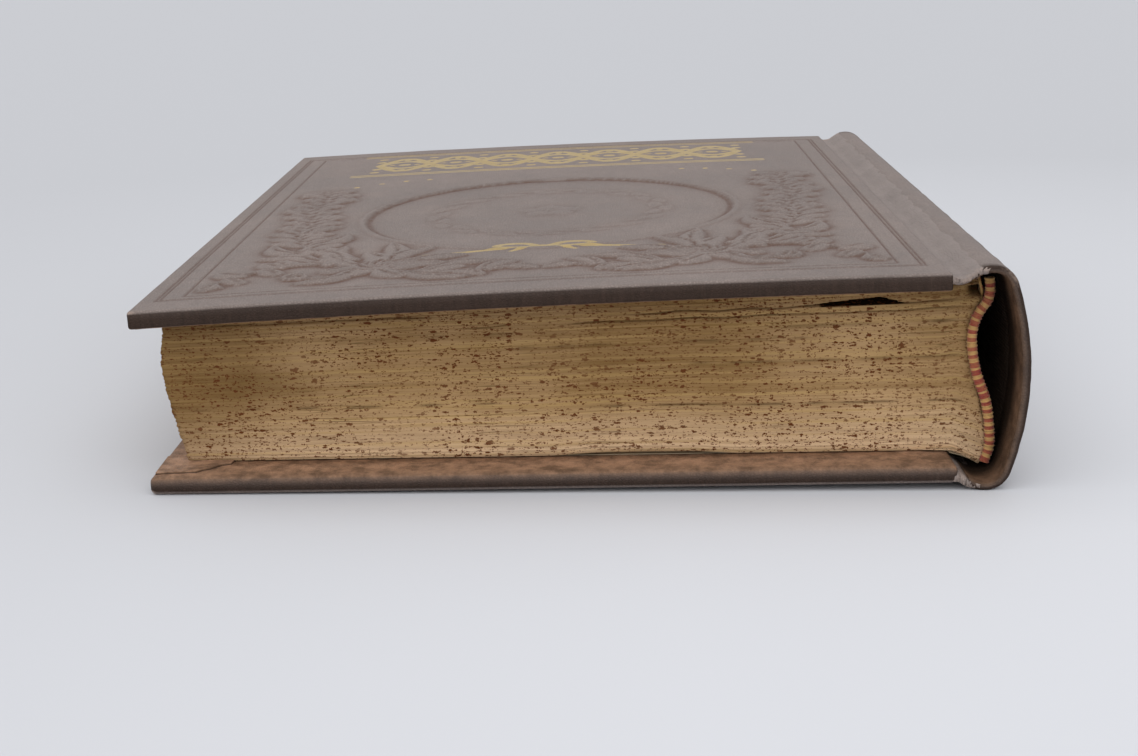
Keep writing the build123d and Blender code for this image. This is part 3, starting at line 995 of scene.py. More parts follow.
def leather_masks(cover, flat, radius, relief):
    """Where the tooling gets painted shade in its hollows, where the leather is rubbed, where the
    edges get their dark brown with painted shade and where it is turned in, for the unrounded
    points.
    """
    wide, long, thick = cover.width, cover.length, cover.thick
    on_face = relief.height.size
    # hollow: painted shade in the tooling's hollows, from how far the relief lies below its blurred
    # surroundings.
    broad = box_blur(relief.height, 34) - relief.height
    cavity = box_blur(relief.height, 6) - relief.height
    hollow = np.zeros(len(flat))
    both = 0.6 * np.clip(broad / 0.30, 0, 1) + 0.7 * np.clip(cavity / 0.20, 0, 1)
    hollow[:on_face] = np.clip(both, 0, 1).ravel()
    from_edge = np.minimum.reduce([flat[:, 0], wide - flat[:, 0], flat[:, 1], long - flat[:, 1]])
    from_corner = np.minimum(np.hypot(flat[:, 0], flat[:, 1]),
                             np.hypot(flat[:, 0], long - flat[:, 1]))
    rounding = (from_edge < radius * 0.8) & (flat[:, 2] > -radius) & (flat[:, 2] < 0.01)
    patchy = 0.5 + 0.5 * wander(flat[:, 0] / 19 + flat[:, 1] / 23, 61)
    rub = 0.42 * rounding * (0.55 + 0.45 * patchy) + 0.34 * smoothstep(3.0, 0.4, from_corner)
    # Rubbing and painted highlight: the raised tops of the tooling turn paler.
    rub[:on_face] += (np.clip(-cavity / 0.3, 0, 1) * 0.18).ravel()
    # edge marks the sides, the rounding below the outer face and a strip of the inner face near the
    # edges for the dark brown with painted shade.
    edge = smoothstep(-0.15, -0.9, flat[:, 2])
    inner_face = flat[:, 2] < -thick + 0.01
    turning = smoothstep(-0.35 * thick, -thick, flat[:, 2]) * (not cover.front)
    edge = np.where(inner_face, 0.35 * smoothstep(4.0, 0.2, from_edge), edge * (1 - 0.6 * turning))
    inside = np.where(inner_face, 1.0, 0.8 * turning)
    return {"hollow": hollow, "rub": rub, "edge": edge, "inside": inside}


def cover_leather(side, pitch_u, pitch_v, rich):
    """The leather of a cover: relief on the outer face, round edges and turn-ins."""
    s = sizes()
    cover = Cover(side)
    radius = s.edge_round if cover.front else s.back_edge_round
    wide, long, thick = cover.width, cover.length, cover.thick
    us, vs = tooling_grid(cover, radius, pitch_u, pitch_v)
    relief = tooled_relief(cover, us, vs, rich)
    grid_u, grid_v = np.meshgrid(us, vs)
    on_face = grid_u.size
    top = np.stack([grid_u.ravel(), grid_v.ravel(), np.zeros(on_face)], 1)
    index = np.arange(on_face).reshape(len(vs), len(us))
    outline = top[outline_of(index), :2]
    rings = edge_rings(cover, outline, radius, s.turn_in)
    sunk = rings[-1].copy()
    sunk[:, 2] += s.turn_in_skin
    flat = np.vstack([top] + rings + [sunk])
    points = round_box(flat, (0, 0, -thick), (wide, long, 0), radius)
    points[-len(outline):] = sunk
    uneven = wander(points[:, 0] / 21, 3) * wander(points[:, 1] / 17, 4) * 0.05
    side_face = (flat[:, 2] < -radius * 0.5) & (flat[:, 2] > radius * 0.5 - thick)
    points[:on_face, 2] += relief.height.ravel()
    outward = wander(points[:, 0] / 9 + points[:, 1] / 7, 8) * 0.06 * side_face
    points[:, 1] += np.where(flat[:, 1] < 0.01, -outward, 0) + np.where(
        flat[:, 1] > long - 0.01, outward, 0)
    points[:on_face, 2] += uneven[:on_face]
    masks = leather_masks(cover, flat, radius, relief)
    masks["gilt"] = np.zeros(len(points))
    if rich:
        masks["gilt"][:on_face] = gilt_pattern(cover, us, vs).ravel()
    piece = make_mesh(side + "_leather", cover.at(points),
                      shell_faces(index, len(rings) + 1), masks)
    finish_piece(piece, cover_leather_look(), cover.body, "cover_leather",
                 side + "_cover_leather")


def cover_inner_pieces(side):
    """The millboard and the pastedown of a cover, following its bow."""
    s = sizes()
    cover = Cover(side)
    wide, long, thick = cover.width, cover.length, cover.thick

    def slab(name, low, high, counts):
        lattice, faces = lattice_box(counts)
        share = lattice / (np.array(counts) - 1)
        points = np.asarray(low) + share * (np.asarray(high) - np.asarray(low))
        return make_mesh(name, cover.at(points), faces, smooth=False)

    inset = s.skin + 0.25
    board = slab(side + "_millboard", (inset, inset, -thick + s.turn_in_skin),
                 (wide - inset, long - inset, -s.skin - 0.15), (20, 24, 2))
    finish_piece(board, board_look(), cover.body, "millboard", side + "_board")
    sheet = slab(side + "_endpaper", (s.turn_in - 4, s.turn_in - 2, -thick - 0.10),
                 (wide - 0.6, long - s.turn_in + 2, -thick + s.turn_in_skin),
                 (30, 40, 2))
    finish_piece(sheet, paper_look("old_endpaper"), cover.body, "endpaper", side + "_pastedown")


def turn_in_mitres(side):
    """Overlapping leather flaps of the turn-ins at the two fore-edge corners."""
    cover = Cover(side)
    thick = cover.thick
    seam = [(0.9, 2.6), (4.6, 3.1), (9.6, 3.5), (10.6, 4.8), (12.2, 6.0), (14.4, 8.8),
            (16.2, 9.6), (16.6, 12.4), (17.2, 15.0)]
    outline = seam + [(8.0, 15.4), (0.8, 15.6)]
    verts, faces = [], []
    for flip in (False, True):
        start = len(verts)
        for w in (-thick - 0.45, -thick + 0.2):
            for u, v in outline:
                inset = 0.12 if w < -thick else 0.0
                v = v + inset
                verts.append((u, cover.length - v if flip else v, w))
        n = len(outline)
        faces.append([start + k for k in range(n)])
        faces.append([start + n + k for k in reversed(range(n))])
        for k in range(n):
            m = (k + 1) % n
            faces.append([start + k, start + m, start + n + m, start + n + k])
    points = np.array(verts, float)
    count = len(points)
    # Painted shadow: the flaps' sides darken to near black where they meet the board.
    piece = make_mesh(side + "_mitres", cover.at(points), faces,
                      {"rub": np.where(points[:, 2] < -thick, 0.46, 0.0),
                       "edge": np.where(points[:, 2] < -thick, 0.0, 1.0),
                       "painted_shade": np.where(points[:, 2] < -thick, 0.0, 1.0),
                       "inside": np.ones(count)}, smooth=False)
    finish_piece(piece, cover_leather_look(), cover.body, "cover_leather")


# --- leaves ---------------------------------------------------------------------
FORE_EDGE = ((5.0, 0.0), (2.5, 0.28), (0.1, 0.66), (1.1, 1.0))       # (inward, height share)
BACK_EDGE = ((1.4, 0.0), (0.0, 0.14), (4.6, 0.66), (2.4, 0.88), (3.4, 1.0))
PAGE_GAPS = ((10, 84, 0.890, 0.50), (-5, 86, 0.845, 0.40), (24, 70, 0.975, 0.8),
             (35, 86, 0.775, 0.22), (-20, 60, 0.70, 0.14), (-85, -30, 0.93, 0.25),
             (20, 88, 0.56, 0.12), (-60, 10, 0.80, 0.14), (-90, -10, 0.35, 0.12),
             (0, 88, 0.30, 0.10))                            # (start x, end x, share, strength of the painted shade)
TEAR = (49.5, 70.5, 0.886)                                   # start x, end x, height share
TEAR_OPENING = 0.050                                         # share of the block's height
TEAR_DEPTH = 12.0
UV_HEIGHT = 0.0405                                           # of the leaf edges, in metres


class LeafShape:
    """Where a leaf lies: x and z in mm from its height share and its run."""

    def __init__(self):
        self.low, self.high = (np.array(corner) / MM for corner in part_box("text_block"))
        self.front, self.back = Cover("front"), Cover("back")
        foot = np.array(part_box("back_inner_hinge")[0]) / MM
        crown = np.array(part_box("front_inner_hinge")[0]) / MM
        self.foot_x, self.crown_x = foot[0], crown[0]
        fore = spline([(x, share) for x, share in FORE_EDGE])
        back = spline([(x, share) for x, share in BACK_EDGE])
        self.fore_x = lambda share: self.low[0] + np.interp(share, fore[:, 1], fore[:, 0])
        self.back_x = lambda share: self.high[0] - np.interp(share, back[:, 1], back[:, 0])

    def bottom(self, x):
        at_foot = self.back.inner_z(self.foot_x) + 0.2
        rise = np.clip((x - self.foot_x) / (self.high[0] - 1.4 - self.foot_x), 0, 1)
        lift = 0.55 * smoothstep(-8, 6, x) * smoothstep(36, 24, x)
        flat = self.back.inner_z(np.minimum(x, self.foot_x)) + 0.2 + lift
        return flat + (self.low[2] - at_foot) * rise

    def top(self, x):
        at_crown = self.front.inner_z(self.crown_x) - 0.2
        rise = np.clip((x - self.crown_x) / (self.high[0] - 3.4 - self.crown_x), 0, 1)
        flat = self.front.inner_z(np.minimum(x, self.crown_x)) - 0.2
        return flat + (self.high[2] - at_crown) * rise

    def at(self, run, share):
        x = (1 - run) * self.fore_x(share) + run * self.back_x(share)
        return x, self.bottom(x) * (1 - share) + self.top(x) * share


def gaps_and_tear(x, share):
    """How much painted shade the partings get and how far in mm the leaves part, between gatherings
    and at the tear.
    """
    gap_shade = np.zeros(len(x))
    depth = np.zeros(len(x))
    for start, end, level, strength in PAGE_GAPS:
        line = level + 0.006 * wander(x / 15, int(level * 1000))
        near = np.exp(-((share - line) / 0.0030) ** 2)
        near *= smoothstep(start, start + 6, x) * smoothstep(end, end - 6, x)
        gap_shade = np.maximum(gap_shade, near * strength)
        depth = np.maximum(depth, near)
    start, end, level = TEAR
    opening = TEAR_OPENING * np.clip((x - start) / (end - start), 0, 1) ** 0.6
    opening *= 1 + 0.10 * wander(x / 0.8, 40)
    ragged_end = end - 120 * (share - level) + 0.8 * wander(share * 300, 41)
    torn = (share > level) & (share < level + opening) & (x > start) & (x < ragged_end)
    # Painted shade in the tear and in a rim around it.
    shaded = (share > level - 0.0046) & (share < level + opening + 0.002)
    shaded &= (x > start + 3) & (x < ragged_end + 0.4)
    gap_shade = np.maximum(gap_shade, np.where(torn | shaded, 1.0, 0.0))
    return gap_shade, np.maximum(depth, torn * TEAR_DEPTH)


def leaf_block():
    """All leaves, with uneven edges, gaps between some of them and a torn place, with painted shade
    in the partings, the tear, the pocket by the spine and under the lifted leaves.
    """
    shape = LeafShape()
    share_lines = np.unique(np.concatenate([
        np.linspace(0, 0.05, 10), np.linspace(0.05, 0.82, 66), np.linspace(0.82, 1, 40)]))
    run_lines = np.unique(np.concatenate([np.linspace(0, 0.62, 90), np.linspace(0.62, 1, 96)]))
    end_lines = np.array([0, 0.4, 1.5, 4, 9, 14, 16])
    length = shape.high[1] - shape.low[1]
    y_lines = np.unique(np.concatenate([end_lines, np.linspace(20, length - 20, 12),
                                        length - end_lines]))
    counts = (len(run_lines), len(y_lines), len(share_lines))
    lattice, faces = lattice_box(counts)
    run, share = run_lines[lattice[:, 0]], share_lines[lattice[:, 2]]
    from_tail = y_lines[lattice[:, 1]]
    x, z = shape.at(run, share)
    rng = np.random.default_rng(5)
    offsets = rng.uniform(-0.10, 0.16, len(share_lines))
    ragged = offsets[lattice[:, 2]] + 0.16 * wander(x / 24 + 9 * share, 21)
    ragged += 0.05 * wander(x / 5 + 70 * share, 22)
    corner = smoothstep(0.93, 1.0, run)
    ragged += corner * 0.22 * rng.uniform(-1, 1, len(share_lines))[lattice[:, 2]]
    gap_shade, depth = gaps_and_tear(x, share)
    # Painted shadow under the lowest leaves where they lift off the back cover.
    under = np.exp(-(share / 0.006) ** 2) * smoothstep(-8, 4, x) * smoothstep(36, 26, x)
    gap_shade = np.maximum(gap_shade, under * 0.7)
    # Painted shade in the pocket at the top by the spine, which also sinks 3 mm in.
    pocket = smoothstep(0.984, 0.992, run) * smoothstep(0.885, 0.92, share)
    pocket *= smoothstep(1.0, 0.985, share)
    gap_shade = np.maximum(gap_shade, 0.9 * pocket)
    inward = ragged + depth + 3.0 * pocket
    tail_pull = np.where(from_tail < 15, inward * np.clip(1 - from_tail / 15, 0, 1), 0)
    tail_pull = np.where(from_tail < 0.01, inward, tail_pull)
    from_head = length - from_tail
    head_pull = np.where(from_head < 15, ragged * np.clip(1 - from_head / 15, 0, 1), 0)
    y = shape.low[1] + from_tail + tail_pull - head_pull
    fore = smoothstep(0.04, 0.0, run)
    x = x + fore * (0.12 + offsets[lattice[:, 2]] + 0.2 * wander(y / 31 + 11 * share, 24))
    gap_shade *= from_tail < 12
    points = np.stack([x, y, z], 1) * MM
    # Painted shade: a darker patch left of the middle, a darker left end, a band under the front
    # cover and a soft patch in the middle.
    shade_patch = 0.75 * np.exp(-((x + 68) / 15) ** 2 - ((share - 0.52) / 0.16) ** 2)
    shade_patch += 0.45 * smoothstep(-55, -92, x) + 0.12 * np.exp(-((share - 0.97) / 0.05) ** 2)
    shade_patch += 0.30 * np.exp(-((x - 5) / 35) ** 2 - ((share - 0.60) / 0.14) ** 2)
    uv = np.stack([points[:, 0] + points[:, 1], share * UV_HEIGHT], 1)
    piece = make_mesh("leaf_block", points, faces,
                      {"gap_shade": gap_shade, "shade_patch": np.clip(shade_patch, 0, 0.9)}, uv)
    finish_piece(piece, leaf_edge_look(), BLOCK_BODY, "paper_block", "text_block")
    piece.data.materials.append(paper_look("flyleaf"))
    flat_faces = 2 * (counts[0] - 1) * (counts[1] - 1)
    which = np.zeros(len(faces), np.int32)
    which[-flat_faces:] = 1
    piece.data.polygons.foreach_set("material_index", which)
    return shape


def loose_leaves(shape):
    """Single leaves that stand apart at the tail: by the tear and at both spine corners."""
    rng = np.random.default_rng(17)
    strips = []
    for k in range(9):
        strips.append((rng.uniform(0.90, 0.95), 1.0, 0.004 + 0.022 * k / 9, 0.9))
    for k in range(10):
        strips.append((rng.uniform(0.935, 0.965), 1.0, 0.986 - 0.030 * k / 10, 0.8))
    for k in range(5):
        strips.append((rng.uniform(0.70, 0.80), rng.uniform(0.88, 0.96), 0.972 + 0.005 * k, 0.6))
    verts, faces, uvs = [], [], []
    for start, end, share, reach in strips:
        run = np.linspace(start, end, 14)
        wave = share + 0.004 * wander(run * 25, int(share * 7000))
        x, z = shape.at(run, np.clip(wave, 0, 1))
        out = -rng.uniform(0.1, reach) * np.sin(np.pi * np.linspace(0.15, 1, 14)) ** 0.5
        base = len(verts)
        for i in range(14):
            for dy, dz in ((out[i], -0.05), (out[i], 0.05), (6.0, 0.05), (6.0, -0.05)):
                verts.append((x[i], shape.low[1] + dy, z[i] + dz))
                uvs.append((x[i] * MM, share * UV_HEIGHT + dz * MM))
        for i in range(13):
            for j in range(4):
                a, b = base + 4 * i + j, base + 4 * i + (j + 1) % 4
                faces.append([a, b, b + 4, a + 4])
        faces.append([base, base + 1, base + 2, base + 3])
        faces.append([base + 52, base + 53, base + 54, base + 55])
    piece = make_mesh("loose_leaves", np.array(verts) * MM, faces,
                      {"gap_shade": np.zeros(len(verts)), "shade_patch": np.zeros(len(verts))}, uvs,
                      smooth=False)
    finish_piece(piece, leaf_edge_look(), BLOCK_BODY, "paper_block")


# --- spine ------------------------------------------------------------------------
class SpineShape:
    """The spine's section: shoulder, round back, shoulder, in the XZ plane, in mm."""

    def __init__(self):
        s = sizes()
        low, high = (np.array(corner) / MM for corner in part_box("spine_leather"))
        self.low, self.high = low, high
        height = high[2]
        middle = height / 2
        radius = (middle ** 2 + s.spine_bow ** 2) / (2 * s.spine_bow)
        centre = high[0] - radius
        lift = middle - s.shoulder_round
        corner = centre + math.sqrt((radius - s.shoulder_round) ** 2 - lift ** 2)
        turn = math.atan2(lift, corner - centre)
        points, normals = [], []
        for x, drop in ((low[0] - 1.4, 1.5), (low[0] - 0.6, 0.74), (low[0] + 0.3, 0.18),
                        (low[0] + 1.5, 0.0)):
            points.append((x, height - drop))
            normals.append((0, 1))
        for angle in np.linspace(math.pi / 2, turn, 12):
            normal = (math.cos(angle), math.sin(angle))
            points.append((corner + s.shoulder_round * normal[0],
                           middle + lift + s.shoulder_round * normal[1]))
            normals.append(normal)
        for angle in np.linspace(turn, 0, 18)[1:]:
            normal = (math.cos(angle), math.sin(angle))
            points.append((centre + radius * normal[0], middle + radius * normal[1]))
            normals.append(normal)
        upper, up_normals = np.array(points), np.array(normals)
        lower = upper[-2::-1] * (1, -1) + (0, height)
        self.points = np.vstack([upper, lower])
        self.normals = np.vstack([up_normals, up_normals[-2::-1] * (1, -1)])
        steps = np.linalg.norm(np.diff(self.points, axis=0), axis=1)
        self.along = np.concatenate([[0], np.cumsum(steps)])

    def skin(self, inset):
        return self.points - self.normals * np.asarray(inset).reshape(-1, 1)


def spine_skin():
    """The round leather back, turned in at head and tail, with worn rims and painted shade inside.
    """
    s = sizes()
    shape = SpineShape()
    count = len(shape.points)
    wall = s.spine_wall
    stations = [(0.0, 0.62, wall - 0.55), (0.16, 0.26, wall - 0.22), (0.5, 0.05, wall - 0.04),
                (1.0, 0.0, wall), (4.0, 0.0, wall), (9.0, 0.0, wall), (14.6, 0.0, wall),
                (15.0, 0.0, wall - 0.2), (15.1, 0.0, 0.8)]
    length = shape.high[1] - shape.low[1]
    ends = [(y, a, b) for y, a, b in stations]
    middle = [(y, 0.0, 0.8) for y in np.linspace(20, length - 20, 60)]
    rows = ends + middle + [(length - y, a, b) for y, a, b in reversed(stations)]
    verts, rub, edge, inside, painted_shade = [], [], [], [], []
    bulge = 0.42 * np.sin(np.pi * shape.along / shape.along[-1]) ** 2
    worn = 0.30 * wander(shape.along / 4.2, 31) + 0.18 * wander(shape.along / 1.3, 32)
    for y, outer, inner in rows:
        near = min(y, length - y)
        sign = 1 if y < length / 2 else -1
        pull = np.clip(0.28 + worn, 0, 1) * max(0.0, 1 - near / 2.5) * sign
        bump = 0.10 * wander(shape.along / 7 + y / 11, 33) + 0.05 * wander(y / 6, 34)
        bump = bump * smoothstep(0, 4, near)
        for ring, inset in ((0, outer), (1, inner)):
            section = shape.skin(inset + (bump - bulge if ring == 0 else 0.0))
            if ring:
                section = section[::-1]
                pull = pull[::-1]
            for k in range(count):
                verts.append((section[k, 0], shape.low[1] + y + pull[k], section[k, 1]))
            on_rim = smoothstep(2.2, 0.4, near)
            shoulder = np.exp(-((shape.along - 9) / 5) ** 2)
            shoulder += 0.6 * np.exp(-((shape.along - shape.along[-1] + 9) / 5) ** 2)
            rub += list(0.22 * on_rim + 0.18 * shoulder * (1 - ring)
                        + 0.22 * shoulder * on_rim)
            # The rims take the edges' dark brown with painted shade.
            edge += [on_rim * (1.0 - 0.55 * ring)] * count
            # Painted shade: the spine's inner face darkens, more so further in from the ends.
            painted_shade += [ring * (0.40 + 0.55 * smoothstep(0.5, 9.0, near))] * count
            inside += [0.12 * (1 - ring) * on_rim + ring * smoothstep(-0.8, 0.6, near)] * count
    piece = make_mesh("spine_skin", np.array(verts) * MM, loft_faces(len(rows), 2 * count),
                      {"rub": rub, "edge": edge, "inside": inside, "painted_shade": painted_shade,
                       "hollow": np.zeros(len(verts)), "gilt": np.zeros(len(verts))})
    finish_piece(piece, cover_leather_look(), BLOCK_BODY, "cover_leather", "spine_leather")


def lengthwise_strip(name, outer, inner, y_start, y_end, uneven, material):
    """A closed strip along the book between an outer and an inner section path, in mm."""
    outer, inner = spline(outer, 5), spline(inner, 5)
    section = np.vstack([outer, inner[::-1]])
    count = len(section)
    rows = np.concatenate([[0, 0.15, 0.5, 1.2], np.linspace(3, y_end - y_start - 3, 70),
                           y_end - y_start - np.array([1.2, 0.5, 0.15, 0])])
    verts, rub = [], []
    middle = section.mean(axis=0)
    steps = np.arange(count)
    for y in rows:
        near = min(y, y_end - y_start - y)
        shrink = 1 - 0.28 * smoothstep(0.6, 0.0, near)
        ragged = uneven * wander(steps / 2.3, 51) * max(0.0, 1 - near / 3)
        sway = 0.10 * wander(y / 13 + steps / 9, 52)
        for k in range(count):
            x = middle[0] + (section[k, 0] - middle[0]) * (1 if shrink > 0.99 else
                                                           0.5 + shrink / 2)
            z = middle[1] + (section[k, 1] - middle[1]) * shrink
            sign = 1 if y < (y_end - y_start) / 2 else -1
            verts.append((x, y_start + y + sign * abs(ragged[k]), z + sway[k]))
        rub += list(0.12 + 0.42 * smoothstep(8, 0, near) + 0.16 * wander(y / 17 + steps / 3, 53))
    piece = make_mesh(name, np.array(verts) * MM, loft_faces(len(rows), count), {"rub": rub})
    piece.data.materials.append(material)
    return piece


def blend_strip(piece, node):
    """Bake a strip's placement into its mesh and hide the CAD node it replaces."""
    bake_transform(piece)
    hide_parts(node)


def joint_skins():
    """Leather of the groove beside the front cover and of the fold beside the back cover."""
    spine_low = np.array(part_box("spine_leather")[0]) / MM
    spine_high = np.array(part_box("spine_leather")[1]) / MM
    shoulder = spine_low[0]
    cover = np.array(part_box("front_cover_leather")[1]) / MM
    end, face, top = cover[0], cover[2], spine_high[2]
    outer = [(end - 1.7, face - 0.45), (end - 0.5, face - 0.85), (end + 0.9, face - 1.35),
             (end + 2.5, face - 1.25), (end + 4.0, face - 0.3), (end + 5.2, face + 0.55),
             (shoulder + 0.3, top - 0.3), (shoulder + 1.7, top - 0.25)]
    inner = [(end - 1.7, face - 2.2), (end - 0.5, face - 2.4), (end + 0.9, face - 2.6),
             (end + 2.5, face - 2.5), (end + 4.0, face - 1.6), (end + 5.2, face - 0.7),
             (shoulder + 0.3, top - 1.6), (shoulder + 1.7, top - 1.45)]
    tail, head = spine_low[1], spine_high[1]
    piece = lengthwise_strip("front_joint_skin", outer, inner, tail, head, 0.8,
                             joint_leather_look())
    blend_strip(piece, "front_joint_leather")
    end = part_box("back_joint_leather")[0].x / MM
    outer = [(end - 1.6, 2.25), (end + 0.1, 1.75), (end + 1.6, 0.85), (shoulder - 0.6, 0.42),
             (shoulder + 1.4, 0.3)]
    inner = [(end - 1.6, 3.7), (end + 0.1, 3.9), (end + 1.6, 3.0), (shoulder - 0.6, 1.9),
             (shoulder + 1.4, 1.35)]
    piece = lengthwise_strip("back_joint_skin", outer, inner, tail, head, 1.0,
                             joint_leather_look())
    blend_strip(piece, "back_joint_leather")


def hinge_folds():
    """Mull and endpaper folded across the inside of each joint."""
    low, high = (np.array(corner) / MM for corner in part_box("front_inner_hinge"))
    outer = [(low[0] - 0.6, low[2] + 0.42), (low[0] + 2, low[2] + 0.75), (high[0], high[2] + 0.02)]
    inner = [(low[0] - 0.6, low[2] + 0.10), (low[0] + 2, low[2] + 0.45), (high[0], high[2] - 0.28)]
    piece = lengthwise_strip("front_hinge_fold", outer, inner, low[1] + 0.3, high[1] - 0.3, 0.3,
                             paper_look("old_endpaper"))
    blend_strip(piece, "front_inner_hinge")
    low, high = (np.array(corner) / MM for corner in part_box("back_inner_hinge"))
    outer = [(low[0] - 0.8, high[2] - 0.02), (low[0] + 2.4, high[2] - 1.2), (high[0], low[2] + 0.3)]
    inner = [(low[0] - 0.8, high[2] - 0.34), (low[0] + 2.4, high[2] - 1.5), (high[0], low[2])]
    piece = lengthwise_strip("back_hinge_fold", outer, inner, low[1] + 0.3, high[1] - 0.3, 0.3,
                             paper_look("old_endpaper"))
    blend_strip(piece, "back_inner_hinge")


# --- end bands --------------------------------------------------------------------
# Distance in from the spine's inner face and height, in mm.
BEAD_PATH = ((5.2, 3.6), (4.3, 6.6), (4.3, 10.2), (5.3, 17.0), (7.6, 23.4), (8.8, 29.2),
             (8.8, 33.4), (7.7, 36.9), (5.9, 39.6), (5.4, 42.0), (5.6, 44.6))
SKIRT_INSET = 1.2            # cloth starts this far in from the end of the leaves, in mm
SKIRT_END = 15.0             # and ends this far in


def bead_winding_nodes():
    """A tree that winds thread rings round a path, striped along its length."""
    tree = bpy.data.node_groups.get("bead_winding")
    if tree:
        return tree
    tree = bpy.data.node_groups.new("bead_winding", "GeometryNodeTree")
    face = tree.interface
    face.new_socket("Path", in_out="INPUT", socket_type="NodeSocketGeometry")
    for label in ("Core Radius", "Thread Radius", "Thread Pitch", "Stripe"):
        face.new_socket(label, in_out="INPUT", socket_type="NodeSocketFloat")
    face.new_socket("Material", in_out="INPUT", socket_type="NodeSocketMaterial")
    face.new_socket("Bead", in_out="OUTPUT", socket_type="NodeSocketGeometry")
    n = Nodes(tree)
    given = tree.nodes.new("NodeGroupInput").outputs
    sink = tree.nodes.new("NodeGroupOutput")
    path = n.add("GeometryNodeResampleCurve", {"Curve": given["Path"],
                                               "Length": given["Thread Pitch"]}, mode="LENGTH")
    run = n.add("GeometryNodeSplineParameter").outputs["Length"]
    uneven = n.add("FunctionNodeRandomValue", {"Seed": 4}, data_type="FLOAT")
    uneven.inputs[2].default_value = -0.07
    uneven.inputs[3].default_value = 0.07
    turns = n.math("DIVIDE", run, given["Stripe"])
    turns = n.math("ADD", turns, uneven.outputs[1])
    red = n.math("LESS_THAN", n.math("FRACT", turns), 0.52)
    striped = n.add("GeometryNodeStoreNamedAttribute", {
        "Geometry": path.outputs["Curve"], "Name": "stripe", "Value": red},
        data_type="FLOAT", domain="POINT")
    circle = n.add("GeometryNodeCurvePrimitiveCircle", {"Resolution": 14,
                                                        "Radius": given["Core Radius"]})
    thread = n.add("GeometryNodeCurvePrimitiveCircle", {"Resolution": 5,
                                                        "Radius": given["Thread Radius"]})
    ring = n.add("GeometryNodeCurveToMesh", {"Curve": circle.outputs["Curve"],
                                             "Profile Curve": thread.outputs["Curve"]})
    tangent = n.add("GeometryNodeInputTangent").outputs[0]
    facing = n.add("FunctionNodeAlignRotationToVector", {"Vector": tangent}, axis="Z")
    tip = n.add("FunctionNodeRandomValue", {"Seed": 9}, data_type="FLOAT")
    tip.inputs[2].default_value = 0.96
    tip.inputs[3].default_value = 1.03
    swell = n.math("COSINE", n.math("MULTIPLY", turns, 2 * math.tau))
    plump = n.math("ADD", tip.outputs[1], n.math("MULTIPLY", swell, 0.09))
    rings = n.add("GeometryNodeInstanceOnPoints", {
        "Points": striped.outputs["Geometry"], "Instance": ring.outputs["Mesh"],
        "Rotation": facing.outputs["Rotation"], "Scale": plump})
    core_circle = n.add("GeometryNodeCurvePrimitiveCircle", {"Resolution": 12,
                                                             "Radius": given["Core Radius"]})
    core = n.add("GeometryNodeCurveToMesh", {
        "Curve": striped.outputs["Geometry"], "Profile Curve": core_circle.outputs["Curve"],
        "Fill Caps": True})
    joined = n.add("GeometryNodeJoinGeometry")
    tree.links.new(rings.outputs["Instances"], joined.inputs[0])
    tree.links.new(core.outputs["Mesh"], joined.inputs[0])
    real = n.add("GeometryNodeRealizeInstances", {"Geometry": joined.outputs[0]})
    done = n.add("GeometryNodeSetMaterial", {"Geometry": real.outputs[0],
                                             "Material": given["Material"]})
    tree.links.new(done.outputs[0], sink.inputs["Bead"])
    return tree


def wound_bead(name, y, node):
    """One end band's bead, wound with two colours of silk."""
    s = sizes()
    inner_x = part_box("spine_leather")[1].x / MM - s.spine_wall
    curve = bpy.data.curves.new(name + "_path", "CURVE")
    curve.dimensions = "3D"
    line = curve.splines.new("POLY")
    points = spline([(inner_x - inward, z) for inward, z in BEAD_PATH], 8)
    line.points.add(len(points) - 1)
    for point, (x, z) in zip(line.points, points):
        point.co = (x * MM, y * MM, z * MM, 1)
    path = bpy.data.objects.new(name + "_path", curve)
    bpy.context.scene.collection.objects.link(path)
    modifier = path.modifiers.new("winding", "NODES")
    modifier.node_group = bead_winding_nodes()
    values = {"Core Radius": (s.bead / 2 - 0.17) * MM, "Thread Radius": 0.17 * MM,
              "Thread Pitch": 0.29 * MM, "Stripe": s.stripe * MM, "Material": thread_look()}
    for item in modifier.node_group.interface.items_tree:
        if item.item_type == "SOCKET" and item.in_out == "INPUT" and item.name in values:
            modifier[item.identifier] = values[item.name]
    bpy.context.view_layer.update()
    evaluated = path.evaluated_get(bpy.context.evaluated_depsgraph_get())
    mesh = bpy.data.meshes.new_from_object(evaluated)
    mesh.name = name
    mesh.polygons.foreach_set("use_smooth", [True] * len(mesh.polygons))
    bpy.data.objects.remove(path)
    piece = bpy.data.objects.new(name, mesh)
    bpy.context.scene.collection.objects.link(piece)
    finish_piece(piece, thread_look(), BLOCK_BODY, "band_silk", node)


def band_skirt(name, shape, y_start, y_end):
    """Cloth of an end band, glued down the backs of the leaves."""
    share = np.linspace(0.0, 1.0, 60)
    x, z = shape.at(np.ones(60), share)
    height, stripe_length = shape.high[2] - shape.low[2], sizes().stripe
    verts, stripe = [], []
    rows = np.linspace(y_start, y_end, 12)
    for y in rows:
        for k in range(60):
            ripple = 0.08 * math.sin(share[k] * height / stripe_length * math.tau)
            verts.append((x[k] + 0.75 + ripple, y, z[k]))
            stripe.append(0.5 + 5 * ripple)
        for k in reversed(range(60)):
            verts.append((x[k] + 0.15, y, z[k]))
            stripe.append(0.0)
    piece = make_mesh(name, np.array(verts) * MM, loft_faces(len(rows), 2 * len(share)),
                      {"stripe": stripe})
    finish_piece(piece, thread_look(), BLOCK_BODY, "band_silk")


